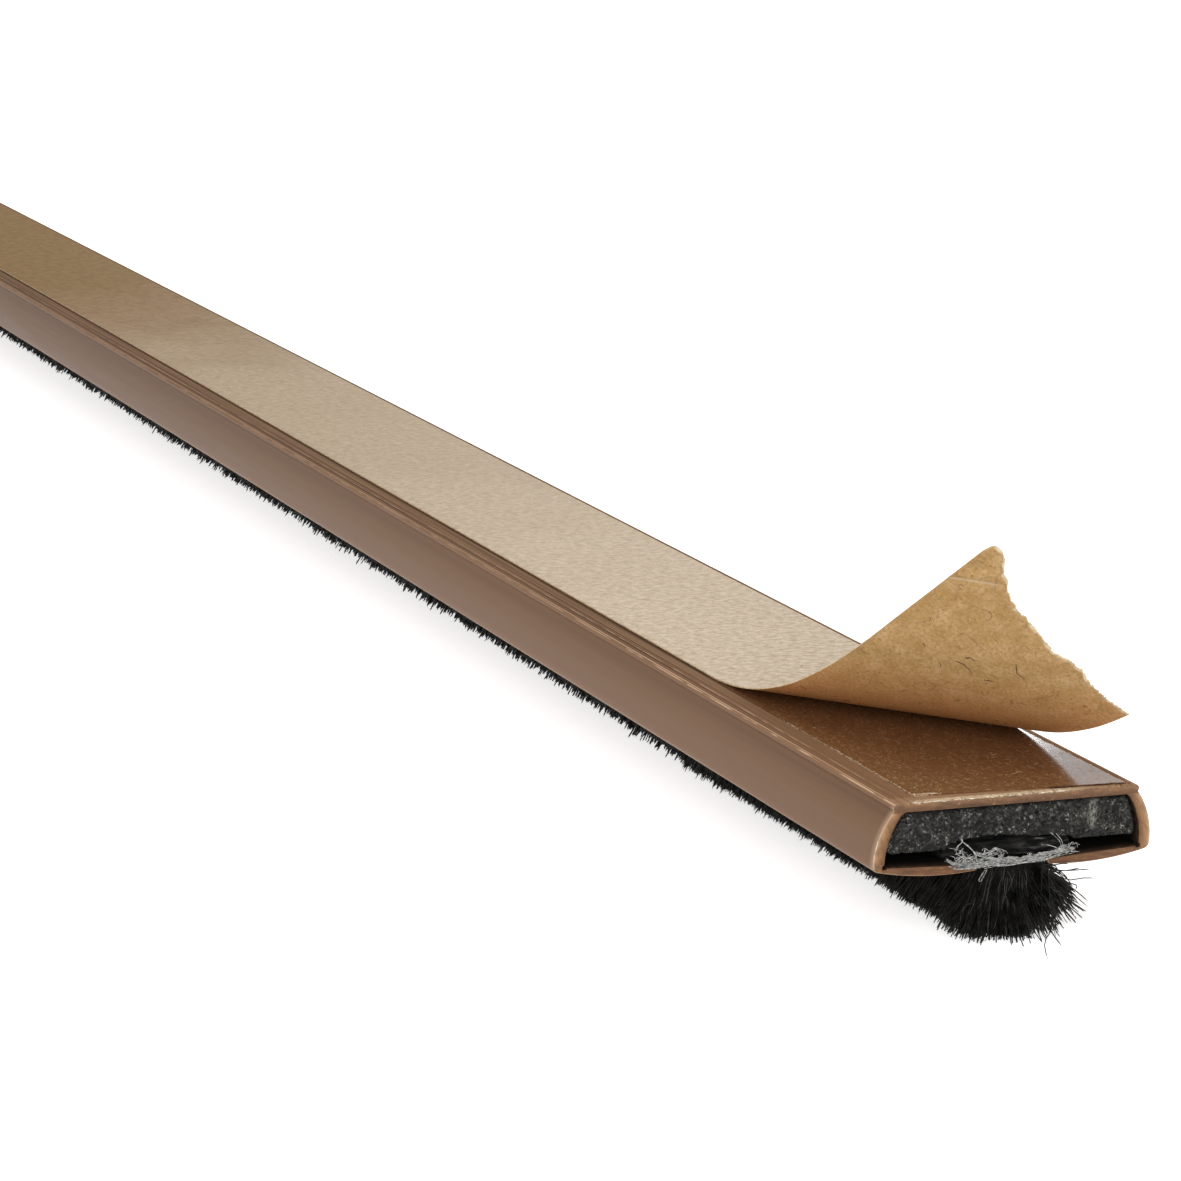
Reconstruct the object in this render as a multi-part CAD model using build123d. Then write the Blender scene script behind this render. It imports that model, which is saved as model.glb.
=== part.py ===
from build123d import *
from math import cos, radians, sin, sqrt, tan
import os

# Self-adhesive brush seal strip, one sales length. X runs across the strip, Y along it and Z up.
# The origin is under the middle of the strip, at the tips of the bristles it lies on.
# The end at the low Y is the one where the release paper is peeled back.
# All sizes are in millimetres and all angles in degrees.

strip_length = 1000.0

# Extruded channel
overall_width = 22.0
channel_height = 5.2
web_wall = 0.65
side_wall = 0.95
lip_wall = 0.85
slot_width = 5.6
side_radius = 5.5
widest_height = 1.15
lip_low_from_slot = 2.5
lip_rise = 0.66
bead_radius = 0.28
bead_overhang = 0.24
bead_root_radius = 0.12
corner_radius = 0.4
lip_edge_radius = 0.22
cavity_corner_radius = 0.3
hinge_groove_radius = 0.16

# Fine extrusion grooves along both margins of the top face, measured from its edge
groove_width = 0.24
groove_depth = 0.09
groove_places = (0.7, 1.35)

# Filling inside the channel
core_clearance = 0.12
core_corner_radius = 0.35
backing_width = 10.2
backing_thickness = 0.9
backing_edge_radius = 0.3

# Bristle pile
pile_reach = 4.8
pile_clearance = 0.1
pile_neck_drop = 0.15
pile_neck_radius = 1.2
pile_foot_width = 5.2

# How far the pile's flank stands out past its neck, its height there, and the bulge of its
# underside: along the strip, and where one flank splays out at the near end
pile_spread = 1.8
pile_spread_height = 1.2
pile_bulge = 0.12
splay_spread = 3.4
splay_height = 1.5
splay_bulge = 0.15
splay_length = 7.0

# Adhesive and its release paper, which lie off the middle of the strip
adhesive_width = 16.0
adhesive_offset = 0.8
adhesive_thickness = 0.1
adhesive_setback = 1.6
liner_thickness = 0.1

# The peeled corner of the release paper: the paper leaves the strip along a slanting line,
# curls up through one radius and then stands straight
peel_start = 23.6
peel_slant = 42.6
curl_radius = 13.75
curl_angle = 66.0
curl_sections = 9
standing_length = 10.5

# The torn end of the paper, before it was peeled: the share of its width from the left edge,
# and how far it reaches past the near end of the strip
torn_edge = (
    (-0.02, 1.9),
    (0.02, 2.4),
    (0.08, 2.1),
    (0.14, 1.0),
    (0.21, 0.2),
    (0.31, -0.35),
    (0.54, -0.95),
    (0.66, -0.55),
    (0.78, -0.95),
    (1.02, -1.2),
)

# Heights that the pieces share
lip_low_z = pile_reach
lip_top_z = lip_low_z + lip_wall
widest_z = lip_low_z + widest_height
top_z = lip_low_z + channel_height
web_under_z = top_z - web_wall
core_low_z = lip_top_z + backing_thickness
adhesive_top_z = top_z + adhesive_thickness

# Ends along the strip
near_y = -strip_length / 2
far_y = strip_length / 2


def side_x(z, inset=0.0):
    """Half width between the curved sides at one height, with the sides moved in by inset."""
    rise = z - widest_z
    return overall_width / 2 - inset - side_radius + sqrt(side_radius**2 - rise**2)


bead_tip_x = side_x(top_z - bead_radius) + bead_overhang


def between_sides(inset, low, high):
    """Face between the two curved sides, moved in by inset, from one height to another."""
    middle = (low + high) / 2
    right = ThreePointArc(
        (side_x(low, inset), low),
        (side_x(middle, inset), middle),
        (side_x(high, inset), high),
    )
    left = mirror(right, Plane.YZ)
    return make_face([right, Line(right @ 1, left @ 1), left, Line(left @ 0, right @ 0)])


def block(left, right, low, high):
    """Rectangle between two widths and two heights."""
    return Pos((left + right) / 2, (low + high) / 2) * Rectangle(right - left, high - low)


def along_strip(section, near=near_y, far=far_y):
    """Solid of a section, drawn as X and Z, from one place along the strip to another."""
    start = Plane(origin=(0, far, 0), x_dir=(1, 0, 0), z_dir=(0, -1, 0))
    return extrude(start * section, amount=far - near)


def channel():
    """Extruded plastic channel with a beaded top edge, bowed sides and two inward lips."""
    slot_edge = slot_width / 2
    right_side = block(0, overall_width, lip_low_z, top_z)

    # Bowed side, and a lip whose underside is a shallow arc that climbs to the outer corner
    arc_x = slot_edge + lip_low_from_slot
    arc_reach = overall_width / 2 - arc_x
    arc_radius = (arc_reach**2 + lip_rise**2) / (2 * lip_rise)
    above_arc = Pos(arc_x, lip_low_z + arc_radius) * Circle(arc_radius)
    half = between_sides(0, lip_low_z, top_z) & above_arc & right_side
    half = fillet(half.vertices().sort_by(Axis.X)[-1], corner_radius)

    # Bead along the top edge, which runs into the side in a soft valley
    bead = Pos(0, top_z - bead_radius) * SlotOverall(2 * bead_tip_x, 2 * bead_radius)
    half += bead & right_side
    valley = half.vertices().filter_by_position(Axis.Y, top_z - 2 * bead_radius, top_z - bead_radius)
    half = fillet(valley.sort_by(Axis.X)[-1], bead_root_radius)

    # Cavity, with a relief groove where each lip springs from its side
    cavity = between_sides(side_wall, lip_top_z, web_under_z)
    cavity = fillet(cavity.vertices().group_by(Axis.Y)[-1], cavity_corner_radius)
    half -= cavity
    half -= Pos(side_x(lip_top_z, side_wall), lip_top_z) * Circle(hinge_groove_radius)

    # Slot that the pile comes through, between rounded lip edges
    half -= block(0, slot_edge, lip_low_z, lip_top_z)
    slot_corners = [v for v in half.vertices() if abs(v.X - slot_edge) < lip_edge_radius / 2]
    half = fillet(slot_corners, lip_edge_radius)

    for place in groove_places:
        groove_x = bead_tip_x - place
        half -= Pos(groove_x, top_z) * Rectangle(groove_width, 2 * groove_depth)

    return along_strip(half + mirror(half, Plane.YZ))


def core_strip():
    """Dense filler that holds the backing down on the lips, cut to the shape of the cavity."""
    section = between_sides(side_wall + core_clearance, core_low_z, web_under_z)
    section = fillet(section.vertices(), core_corner_radius)
    return along_strip(section)


def pile_backing():
    """Woven tape that carries the bristles and rests on both lips."""
    section = block(-backing_width / 2, backing_width / 2, lip_top_z, core_low_z)
    section = fillet(section.vertices(), backing_edge_radius)
    return along_strip(section)


def pile_section(right, right_height, right_bulge):
    """Section of the pile, whose right flank stands out by its own amount."""
    neck = slot_width / 2 - pile_clearance
    neck_z = lip_low_z - pile_neck_drop
    foot = pile_foot_width / 2
    left_tip = (-neck - pile_spread, pile_spread_height)
    right_tip = (neck + right, right_height)
    outline = [
        *Polyline(left_tip, (-neck, neck_z), (-neck, lip_top_z)).edges(),
        *Polyline((-neck, lip_top_z), (neck, lip_top_z), (neck, neck_z), right_tip).edges(),
        SagittaArc(right_tip, (foot, 0), right_bulge),
        Line((foot, 0), (-foot, 0)),
        SagittaArc((-foot, 0), left_tip, pile_bulge),
    ]
    section = make_face(outline)
    neck_corners = [v for v in section.vertices() if abs(v.Y - neck_z) < pile_clearance]
    return fillet(neck_corners, pile_neck_radius)


def pile():
    """The body of bristles: upright in the slot, then fanning out, most of all at the near end."""
    section = pile_section(pile_spread, pile_spread_height, pile_bulge)
    splayed = pile_section(splay_spread, splay_height, splay_bulge)
    splay_y = near_y + splay_length
    near = Plane(origin=(0, near_y, 0), x_dir=(1, 0, 0), z_dir=(0, -1, 0))
    inner = Plane(origin=(0, splay_y, 0), x_dir=(1, 0, 0), z_dir=(0, -1, 0))
    return along_strip(section, near=splay_y) + loft([inner * section, near * splayed])


def adhesive_tape():
    """Thin layer of adhesive on the top face, which starts a little short of the near end."""
    left = adhesive_offset - adhesive_width / 2
    section = block(left, left + adhesive_width, top_z, adhesive_top_z)
    return along_strip(section, near=near_y + adhesive_setback)


def peel_plane():
    """Plane on the underside of the paper, with its X along the line where the paper lifts."""
    slant = radians(peel_slant)
    origin = (adhesive_offset, near_y + peel_start, adhesive_top_z)
    return Plane(origin=origin, x_dir=(cos(slant), -sin(slant), 0), z_dir=(0, 0, 1))


def curl_section(turn, beyond=0.0):
    """Cut through the curled paper after a turn in radians, or further on past the curl."""
    slant = radians(peel_slant)
    unrolled = curl_radius * turn + beyond
    origin = (
        unrolled * tan(slant),
        -curl_radius * sin(turn) - beyond * cos(turn),
        curl_radius * (1 - cos(turn)) + beyond * sin(turn),
    )
    across = Plane(origin=origin, x_dir=(1, 0, 0), z_dir=(0, -cos(turn), sin(turn)))
    cut = Rectangle(adhesive_width / cos(slant), liner_thickness, align=(Align.CENTER, Align.MIN))
    return peel_plane().location * across.location * cut


def seen_along_peel(share, reach):
    """Where a point of the flat paper comes to lie, as its place along the peel line and height."""
    slant = radians(peel_slant)
    x = (share - 0.5) * adhesive_width
    y = -reach - peel_start
    along = x * cos(slant) - y * sin(slant)
    unrolled = -x * sin(slant) - y * cos(slant)
    turn = min(unrolled / curl_radius, radians(curl_angle))
    beyond = unrolled - curl_radius * turn
    return along, curl_radius * (1 - cos(turn)) + beyond * sin(turn)


def release_liner():
    """Release paper: flat on the adhesive, then peeled back in a slanting curl to its torn end."""
    slant = radians(peel_slant)
    left = adhesive_offset - adhesive_width / 2
    right = left + adhesive_width
    lift = adhesive_width / 2 * tan(slant)
    lift_y = near_y + peel_start
    flat = make_face(
        Polyline(
            (left, far_y),
            (left, lift_y + lift),
            (right, lift_y - lift),
            (right, far_y),
            close=True,
        )
    )
    paper = Pos(0, 0, adhesive_top_z) * extrude(flat, amount=liner_thickness)

    # The curl is drawn on evenly spaced cuts, and the standing part carries on from the last one
    full_turn = radians(curl_angle)
    cuts = [curl_section(full_turn * i / (curl_sections - 1)) for i in range(curl_sections)]
    paper += loft(cuts)
    paper += loft([cuts[-1], curl_section(full_turn, standing_length)])

    # The torn end is cut looking along the strip's peeled slope
    torn = [seen_along_peel(share, reach) for share, reach in torn_edge]
    clear_width = adhesive_width / cos(slant)
    clear_height = 2 * (curl_radius + standing_length)
    beyond_tear = Polyline(
        *torn,
        (torn[-1][0] + clear_width, torn[-1][1]),
        (torn[-1][0] + clear_width, clear_height),
        (torn[0][0], clear_height),
        close=True,
    )
    cutter = extrude(Plane.XZ * make_face(beyond_tear), amount=clear_height, both=True)
    return paper - peel_plane().location * cutter


os.makedirs("parts", exist_ok=True)

pieces = {
    "profile": channel(),
    "core_strip": core_strip(),
    "pile_backing": pile_backing(),
    "pile": pile(),
    "adhesive_tape": adhesive_tape(),
    "release_liner": release_liner(),
}

for name, piece in pieces.items():
    export_step(piece, f"parts/{name}.step")
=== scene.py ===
import bpy
import numpy as np
from math import cos, radians, sin, sqrt
from mathutils import Matrix, Vector, noise
from mathutils.geometry import tessellate_polygon


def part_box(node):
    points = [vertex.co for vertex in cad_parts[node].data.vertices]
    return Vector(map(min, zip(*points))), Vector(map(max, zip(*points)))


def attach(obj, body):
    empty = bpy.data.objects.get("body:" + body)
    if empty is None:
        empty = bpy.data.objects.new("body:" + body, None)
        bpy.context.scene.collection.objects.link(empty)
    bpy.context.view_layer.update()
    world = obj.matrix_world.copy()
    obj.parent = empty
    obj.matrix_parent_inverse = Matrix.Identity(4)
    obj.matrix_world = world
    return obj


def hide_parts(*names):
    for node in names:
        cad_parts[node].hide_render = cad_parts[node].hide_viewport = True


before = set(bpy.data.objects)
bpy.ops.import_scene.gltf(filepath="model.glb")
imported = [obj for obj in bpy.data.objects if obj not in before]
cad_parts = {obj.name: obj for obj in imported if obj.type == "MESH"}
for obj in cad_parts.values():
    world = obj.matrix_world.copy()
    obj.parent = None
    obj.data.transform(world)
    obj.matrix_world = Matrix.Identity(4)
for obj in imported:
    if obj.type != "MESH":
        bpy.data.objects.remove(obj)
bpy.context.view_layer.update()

mm = 0.001
rng = np.random.default_rng(7)

# Sizes of the strip, which repeat those of the solids
profile_low, profile_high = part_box("profile")
core_low, core_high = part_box("core_strip")
backing_low, backing_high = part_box("pile_backing")
adhesive_low, adhesive_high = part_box("adhesive_tape")
near_y = profile_low.y
far_y = profile_high.y
overall_width = 22.0 * mm
top_z = profile_high.z
lip_low_z = profile_low.z
web_wall = 0.65 * mm
side_wall = 0.95 * mm
lip_wall = 0.85 * mm
slot_width = 5.6 * mm
side_radius = 5.5 * mm
widest_z = lip_low_z + 1.15 * mm
lip_low_x = slot_width / 2 + 2.5 * mm
lip_rise = 0.66 * mm
bead_radius = 0.28 * mm
bead_overhang = 0.24 * mm
corner_radius = 0.4 * mm
lip_edge_radius = 0.22 * mm
cavity_corner_radius = 0.3 * mm
hinge_groove_radius = 0.16 * mm
groove_width = 0.24 * mm
groove_depth = 0.09 * mm
groove_places = (1.35 * mm, 0.7 * mm)
fine_places = (1.95 * mm, 1.72 * mm, 1.05 * mm, 0.48 * mm)
# Depth and half width of the finer grooves
fine_groove = (0.03 * mm, 0.05 * mm)
core_clearance = 0.12 * mm
core_corner_radius = 0.35 * mm
lip_top_z = lip_low_z + lip_wall
web_under_z = top_z - web_wall
# Both lips sag a little towards the slot
lip_sag = 0.3 * mm
# The near end was sawn a little off square: how far the cut leans back for each unit of height
saw_lean = 0.025
top_front_y = near_y + saw_lean * (top_z - lip_low_z)
# How fast the painted falloff of light on the plastic and the painted sheen on the paper change along the
# strip, in radians for each metre
painted_light_rate = 14.3

# Adhesive: how far its front edge stands back from the sawn end, at its left and right side
front_setback_left = 1.3 * mm
front_setback_right = 0.6 * mm
# How far the bare adhesive reaches out past the paper's left border, and where that begins to fade
bare_overhang = 0.28 * mm
overhang_fades = 16.0 * mm

# Paper: where it starts to lift, the slant of the line it lifts along, and the curl
paper_width = 16.0 * mm
paper_middle = 0.8 * mm
paper_thickness = 0.1 * mm
paper_low_z = adhesive_high.z
peel_start = 23.6 * mm
peel_slant = radians(42.6)
curl_radius = 13.75 * mm
curl_angle = radians(66.0)
crease_from = (-7.85 * mm, 2.05 * mm)
crease_to = (-5.05 * mm, -0.35 * mm)
# Dark fibres that stand out on the inner side of the paper, as places on the flat sheet in millimetres
seen_fibres = (
    ((-2.88, 6.9), (-2.38, 6.68), (-1.72, 6.75), (-1.3, 6.97)),
    ((-0.47, 6.72), (-0.2, 6.4), (0.15, 6.25)),
    ((-5.4, 7.55), (-5.03, 7.72)),
    ((5.43, 3.0), (5.75, 2.88)),
    ((-2.67, 6.18), (-2.5, 5.87), (-2.02, 5.78)),
    ((-7.42, 19.15), (-6.67, 19.28)),
    ((-0.15, 3.73), (0.47, 4.28), (1.2, 4.28)),
)
# The torn end: the share of the paper's width, and how far it reaches past the near end in millimetres
torn_share = (0, 0.005, 0.02, 0.05, 0.085, 0.136, 0.163, 0.205)
torn_share += (0.304, 0.44, 0.545, 0.634, 0.688, 0.78, 0.88, 1)
torn_reach = (1.5, 2.05, 2.26, 2.28, 1.98, 1.04, 0.96, 0.17)
torn_reach += (-0.36, -0.6, -0.96, -0.57, -0.54, -0.97, -1.16, -1.17)


class Shader:
    """Nodes of a material or of the world, added one call at a time."""

    def __init__(self, name, kind="Material"):
        owners = bpy.data.worlds if kind == "World" else bpy.data.materials
        self.owner = owners.new(name)
        self.owner.use_nodes = True
        self.tree = self.owner.node_tree
        self.tree.nodes.clear()
        self.output = self.node("Output" + kind)

    def node(self, kind, props=None, **inputs):
        """A new node with its settings; an input goes by its name, or by its number as i0, i1 and so on."""
        node = self.tree.nodes.new("ShaderNode" + kind)
        for key, value in (props or {}).items():
            setattr(node, key, value)
        for key, value in inputs.items():
            self.put(node.inputs[int(key[1:]) if key[1:].isdigit() else key.replace("_", " ")], value)
        return node

    def put(self, socket, value):
        if isinstance(value, bpy.types.NodeSocket):
            self.tree.links.new(value, socket)
        else:
            socket.default_value = value

    def place(self, stretch=(1, 1, 1), turn=(0, 0, 0), uv=False):
        """Coordinates in metres, on the object or on the flat sheet; a pattern on them is stretched."""
        source = self.node("TexCoord").outputs["UV" if uv else "Object"]
        props = {"vector_type": "TEXTURE"}
        return self.node("Mapping", props, Vector=source, Scale=stretch, Rotation=turn).outputs[0]

    def axes(self, where):
        return self.node("SeparateXYZ", Vector=where).outputs

    def noise(self, where, scale, detail=4.0, rough=0.5, warp=0.0):
        inputs = {"Scale": scale, "Detail": detail, "Roughness": rough, "Distortion": warp}
        return self.node("TexNoise", Vector=where, **inputs).outputs["Fac"]

    def ramp(self, fac, *stops):
        """Colour ramp; each stop is a place and a grey level or a colour."""
        node = self.node("ValToRGB", Fac=fac)
        elements = node.color_ramp.elements
        while len(elements) < len(stops):
            elements.new(0.5)
        for element, (where, colour) in zip(elements, stops):
            element.position = where
            level = (colour,) * 3 if isinstance(colour, (int, float)) else colour
            element.color = (*level, 1.0)
        return node.outputs["Color"]

    def span(self, value, low, high, out_low=0.0, out_high=1.0):
        return self.node("MapRange", i0=value, i1=low, i2=high, i3=out_low, i4=out_high).outputs[0]

    def math(self, operation, a, b=0.0):
        return self.node("Math", {"operation": operation}, i0=a, i1=b).outputs[0]

    def plus(self, a, b):
        return self.math("ADD", a, b)

    def minus(self, a, b):
        return self.math("SUBTRACT", a, b)

    def times(self, a, b):
        return self.math("MULTIPLY", a, b)

    def size(self, a):
        return self.math("ABSOLUTE", a)

    def smaller(self, a, b):
        return self.math("MINIMUM", a, b)

    def larger(self, a, b):
        return self.math("MAXIMUM", a, b)

    def stripe(self, value, middle, half):
        """Mask of a soft-edged line of one half width, where the value passes its middle."""
        return self.span(self.size(self.minus(value, middle)), half, half * 0.4)

    def mix(self, fac, a, b, blend="MIX"):
        node = self.node("Mix", {"data_type": "RGBA", "blend_type": blend}, Factor=fac)
        for number, colour in ((6, a), (7, b)):
            if not isinstance(colour, bpy.types.NodeSocket):
                colour = (*colour, 1.0)
            self.put(node.inputs[number], colour)
        return node.outputs[2]

    def bump(self, height, strength, distance, normal=None):
        node = self.node("Bump", Height=height, Strength=strength, Distance=distance)
        if normal is not None:
            self.put(node.inputs["Normal"], normal)
        return node.outputs[0]

    def seen(self):
        """1 for rays from the camera, in reflections and through glass, 0 for the light on the object."""
        rays = self.node("LightPath").outputs
        seen = self.larger(rays["Is Camera Ray"], rays["Is Glossy Ray"])
        return self.larger(seen, rays["Is Transmission Ray"])

    def skin(self, colour, rough, specular, bump=None):
        shader = self.node("BsdfPrincipled", Base_Color=colour, Roughness=rough)
        shader.inputs["Specular IOR Level"].default_value = specular
        if bump is not None:
            self.put(shader.inputs["Normal"], bump)
        return shader.outputs[0]

    def finish(self, shader):
        self.put(self.output.inputs["Surface"], shader)
        return self.owner


# Materials

def top_face_colour(s, place, across, outward, along, dashes, pale_tone):
    """Colour of the top face's margins, with their die lines, saw marks and a painted shadow beside the
    paper's edges.
    """
    lines = s.ramp(
        s.noise(s.place((1, 250, 1000)), 9000.0, 2.0),
        (0.38, (0.11, 0.054, 0.024)),
        (0.5, (0.15, 0.078, 0.036)),
        (0.62, (0.22, 0.125, 0.062)),
    )
    # Fine die lines along both margins, pale ones beside dark ones, broken here and there
    inner_pale = s.larger(s.stripe(outward, 9.06 * mm, 0.07 * mm), s.stripe(outward, 8.78 * mm, 0.06 * mm))
    pale = s.larger(s.times(inner_pale, dashes), s.stripe(outward, 9.5 * mm, 0.06 * mm))
    dark = s.larger(s.stripe(outward, 9.32 * mm, 0.09 * mm), s.stripe(outward, 8.92 * mm, 0.07 * mm))
    lines = s.mix(s.times(dark, 0.8), lines, (0.06, 0.027, 0.012))
    lines = s.mix(s.times(pale, 0.9), lines, pale_tone)
    # The margin grows lighter over the last 40 mm towards the sawn end and lighter still in its last 1.5 mm,
    # and its front rim is whitened and crushed by the saw over most of its length
    lines = s.mix(s.span(along, 40 * mm, 12 * mm, 0.0, 0.5), lines, (0.26, 0.135, 0.065))
    lines = s.mix(s.span(along, 1.5 * mm, 1.1 * mm), lines, (0.29, 0.165, 0.085))
    chips = s.times(s.noise(place, 2600.0, 4.0, 0.7), -0.8 * mm)
    crushed = s.span(s.plus(s.minus(along, top_front_y - near_y), chips), 0.15 * mm, 0.0)
    crushed = s.times(crushed, s.span(across, -9.0 * mm, -5.5 * mm))
    crushed = s.times(crushed, s.span(across, 6.5 * mm, 3.0 * mm))
    lines = s.mix(s.times(crushed, 0.85), lines, (0.62, 0.48, 0.31))
    # A painted shadow line along both borders of the paper, where it still covers the adhesive
    off_paper = s.minus(s.size(s.minus(across, paper_middle)), paper_width / 2)
    paper_edge_shadow = s.times(s.span(off_paper, 0.34 * mm, 0.1 * mm), s.span(along, 14 * mm, 26 * mm))
    lines = s.mix(s.times(paper_edge_shadow, 0.95), lines, (0.025, 0.011, 0.004))
    return lines


def plastic_material():
    """Satin brown PVC with die lines along it: a warm bead on top, mauve-brown sides, a red-brown foot, and
    painted highlights, reflections and shade.
    """
    s = Shader("brown_pvc")
    flow = s.place((1, 80, 1))
    place = s.place()
    across, y, height = s.axes(place)
    along = s.minus(y, near_y)
    outward = s.size(across)
    fine = s.noise(flow, 5200.0, 3.0, 0.6)
    broad = s.noise(flow, 900.0, 3.0, 0.55)
    # Colour by height, mauve-brown on the sides with a red-brown foot, with painted light in it: a painted
    # highlight along the lower corner (the pale first stop) and a painted dark reflection band below the
    # bead (the darkest stop)
    body = s.ramp(
        s.span(s.plus(height, s.times(s.minus(broad, 0.5), 0.5 * mm)), lip_low_z, top_z),
        (0.145, (0.32, 0.18, 0.095)),
        (0.16, (0.2, 0.095, 0.043)),
        (0.28, (0.17, 0.088, 0.045)),
        (0.5, (0.18, 0.1, 0.052)),
        (0.7, (0.165, 0.09, 0.045)),
        (0.83, (0.125, 0.064, 0.031)),
        (0.9, (0.15, 0.075, 0.035)),
        (0.96, (0.195, 0.098, 0.046)),
    )
    on_top = s.span(height, top_z - 0.2 * mm, top_z - 0.02 * mm)
    dashes = s.span(s.noise(s.place((1, 8, 1)), 2500.0, 2.0), 0.46, 0.54)
    pale_tone = s.mix(s.span(along, 60 * mm, 15 * mm), (0.36, 0.225, 0.135), (0.7, 0.48, 0.31))
    top_face = top_face_colour(s, place, across, outward, along, dashes, pale_tone)
    colour = s.mix(on_top, body, top_face)
    # The bead's shoulder, and a painted highlight along its crest
    on_bead = s.span(outward, 9.3 * mm, 9.45 * mm)
    shoulder = s.times(s.stripe(height, top_z - 0.1 * mm, 0.08 * mm), on_bead)
    colour = s.mix(s.times(shoulder, 0.5), colour, (0.24, 0.135, 0.07))
    crest_highlight = s.times(s.stripe(height, top_z - 0.075 * mm, 0.045 * mm), s.times(on_bead, dashes))
    colour = s.mix(s.times(crest_highlight, 0.8), colour, pale_tone)
    # Painted sheen on the sides right beside the saw cut
    from_cut = s.minus(along, s.times(s.minus(height, lip_low_z), saw_lean))
    sawn_edge_sheen = s.times(s.span(from_cut, 0.5 * mm, 0.05 * mm, 0.0, 0.5), s.span(on_top, 0.3, 0.0))
    colour = s.mix(sawn_edge_sheen, colour, (0.5, 0.34, 0.21))
    colour = s.mix(s.span(fine, 0.3, 0.75, 0.0, 0.2), colour, (0.24, 0.135, 0.078))
    grime = s.noise(place, 900.0, 6.0, 0.7)
    colour = s.mix(s.span(grime, 0.64, 0.8, 0.0, 0.3), colour, (0.09, 0.055, 0.035))
    # Painted shade: the plastic darkens in a slow wave along the strip, standing in for the lamps' light
    # falling off away from the near end
    painted_falloff = s.span(s.math("COSINE", s.times(along, painted_light_rate)), -1.0, 0.6, 0.22, 0.0)
    colour = s.mix(painted_falloff, colour, (0.07, 0.035, 0.016))
    bump = s.bump(fine, 0.1, 0.02 * mm)
    bump = s.bump(s.noise(place, 1500.0, 3.0), 0.04, 0.05 * mm, bump)
    dull = s.plus(s.span(fine, 0.2, 0.8, 0.36, 0.5), s.times(on_top, 0.45))
    return s.finish(s.skin(colour, dull, 0.22, bump))


def cavity_material():
    """Inside of the channel: the same plastic painted dark and mottled as shade, darker still a little in
    from the sawn end.
    """
    s = Shader("shaded_cavity")
    place = s.place()
    dust_and_shade = s.noise(place, 1800.0, 5.0, 0.65)
    colour = s.ramp(dust_and_shade, (0.35, (0.012, 0.006, 0.003)), (0.65, (0.05, 0.026, 0.013)))
    along = s.minus(s.axes(place)[1], near_y)
    # Painted shade deepens from 0.25 mm to 0.9 mm in from the sawn end
    colour = s.mix(s.span(along, 0.25 * mm, 0.9 * mm), colour, (0.004, 0.0025, 0.0015))
    return s.finish(s.skin(colour, 0.75, 0.15, s.bump(dust_and_shade, 0.2, 0.05 * mm)))


def cut_plastic_material():
    """The sawn end of the plastic: pale at its rim, from saw whitening and a painted highlight, red-brown
    inside, darkened inward with painted shade, matt and scratched.
    """
    s = Shader("brown_pvc_cut")
    place = s.place()
    across, _, height = s.axes(place)
    flat_streak = s.noise(s.place((3.5, 1, 0.8), (0, 0.1, 0)), 2600.0, 6.0, 0.7)
    steep_streak = s.noise(s.place((0.8, 1, 3.5), (0, -0.5, 0)), 2600.0, 6.0, 0.7)
    on_wall = s.span(s.size(across), 8.8 * mm, 9.8 * mm)
    on_wall = s.times(on_wall, s.span(height, web_under_z + 0.1 * mm, web_under_z - 0.2 * mm))
    streak = s.mix(on_wall, flat_streak, steep_streak)
    # How far a point lies inside the channel's outer surface
    rise = s.minus(height, widest_z)
    bow = s.math("SQRT", s.minus(side_radius**2, s.times(rise, rise)))
    side = s.plus(bow, overall_width / 2 - side_radius)
    depth = s.smaller(s.minus(side, s.size(across)), s.minus(top_z, height))
    depth = s.plus(depth, s.times(s.minus(streak, 0.5), 0.5 * mm))
    # Pale at the rim, part saw whitening and part painted highlight, and darker inward with painted shade
    body = s.ramp(
        s.span(depth, 0.0, 1.0 * mm),
        (0.07, (0.7, 0.5, 0.32)),
        (0.2, (0.46, 0.27, 0.145)),
        (0.45, (0.35, 0.182, 0.083)),
        (0.85, (0.2, 0.092, 0.041)),
    )
    colour = s.mix(1.0, body, s.ramp(streak, (0.36, 0.5), (0.5, 0.8), (0.62, 1.05)), "MULTIPLY")
    patch = s.noise(place, 900.0, 5.0, 0.6)
    colour = s.mix(s.span(patch, 0.5, 0.66, 0.0, 0.45), colour, (0.12, 0.048, 0.02))
    # Painted shade: the web is painted the darkest part, more so towards its underside
    in_web = s.span(height, web_under_z - 0.05 * mm, web_under_z + 0.1 * mm)
    web_shaded_tone = s.mix(s.span(height, top_z - 0.1 * mm, web_under_z), (0.19, 0.095, 0.046), (0.07, 0.03, 0.015))
    web_shaded_tone = s.mix(1.0, web_shaded_tone, s.ramp(streak, (0.36, 0.6), (0.5, 1.0), (0.62, 1.3)), "MULTIPLY")
    colour = s.mix(s.times(in_web, 0.85), colour, web_shaded_tone)
    speck = s.span(s.noise(place, 4200.0, 3.0, 0.6), 0.64, 0.72)
    colour = s.mix(s.times(speck, 0.5), colour, (0.5, 0.33, 0.19))
    return s.finish(s.skin(colour, 0.5, 0.25, s.bump(streak, 0.8, 0.08 * mm)))


# Kinds of mottled material: size, detail and unevenness of the noise, where its two tones lie, the
# roughness and specular level of the surface, and the strength of its relief
burr = (2500.0, 4.0, 0.5, (0.35, 0.62), 0.6, 0.2, 0.0)
yarn = (5200.0, 4.0, 0.65, (0.4, 0.6), 0.6, 0.3, 0.5)
bristle = (1200.0, 3.0, 0.5, (0.3, 0.75), 0.5, 0.14, 0.0)
torn_paper = (2200.0, 3.0, 0.5, (0.3, 0.7), 0.8, 0.5, 0.0)


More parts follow.
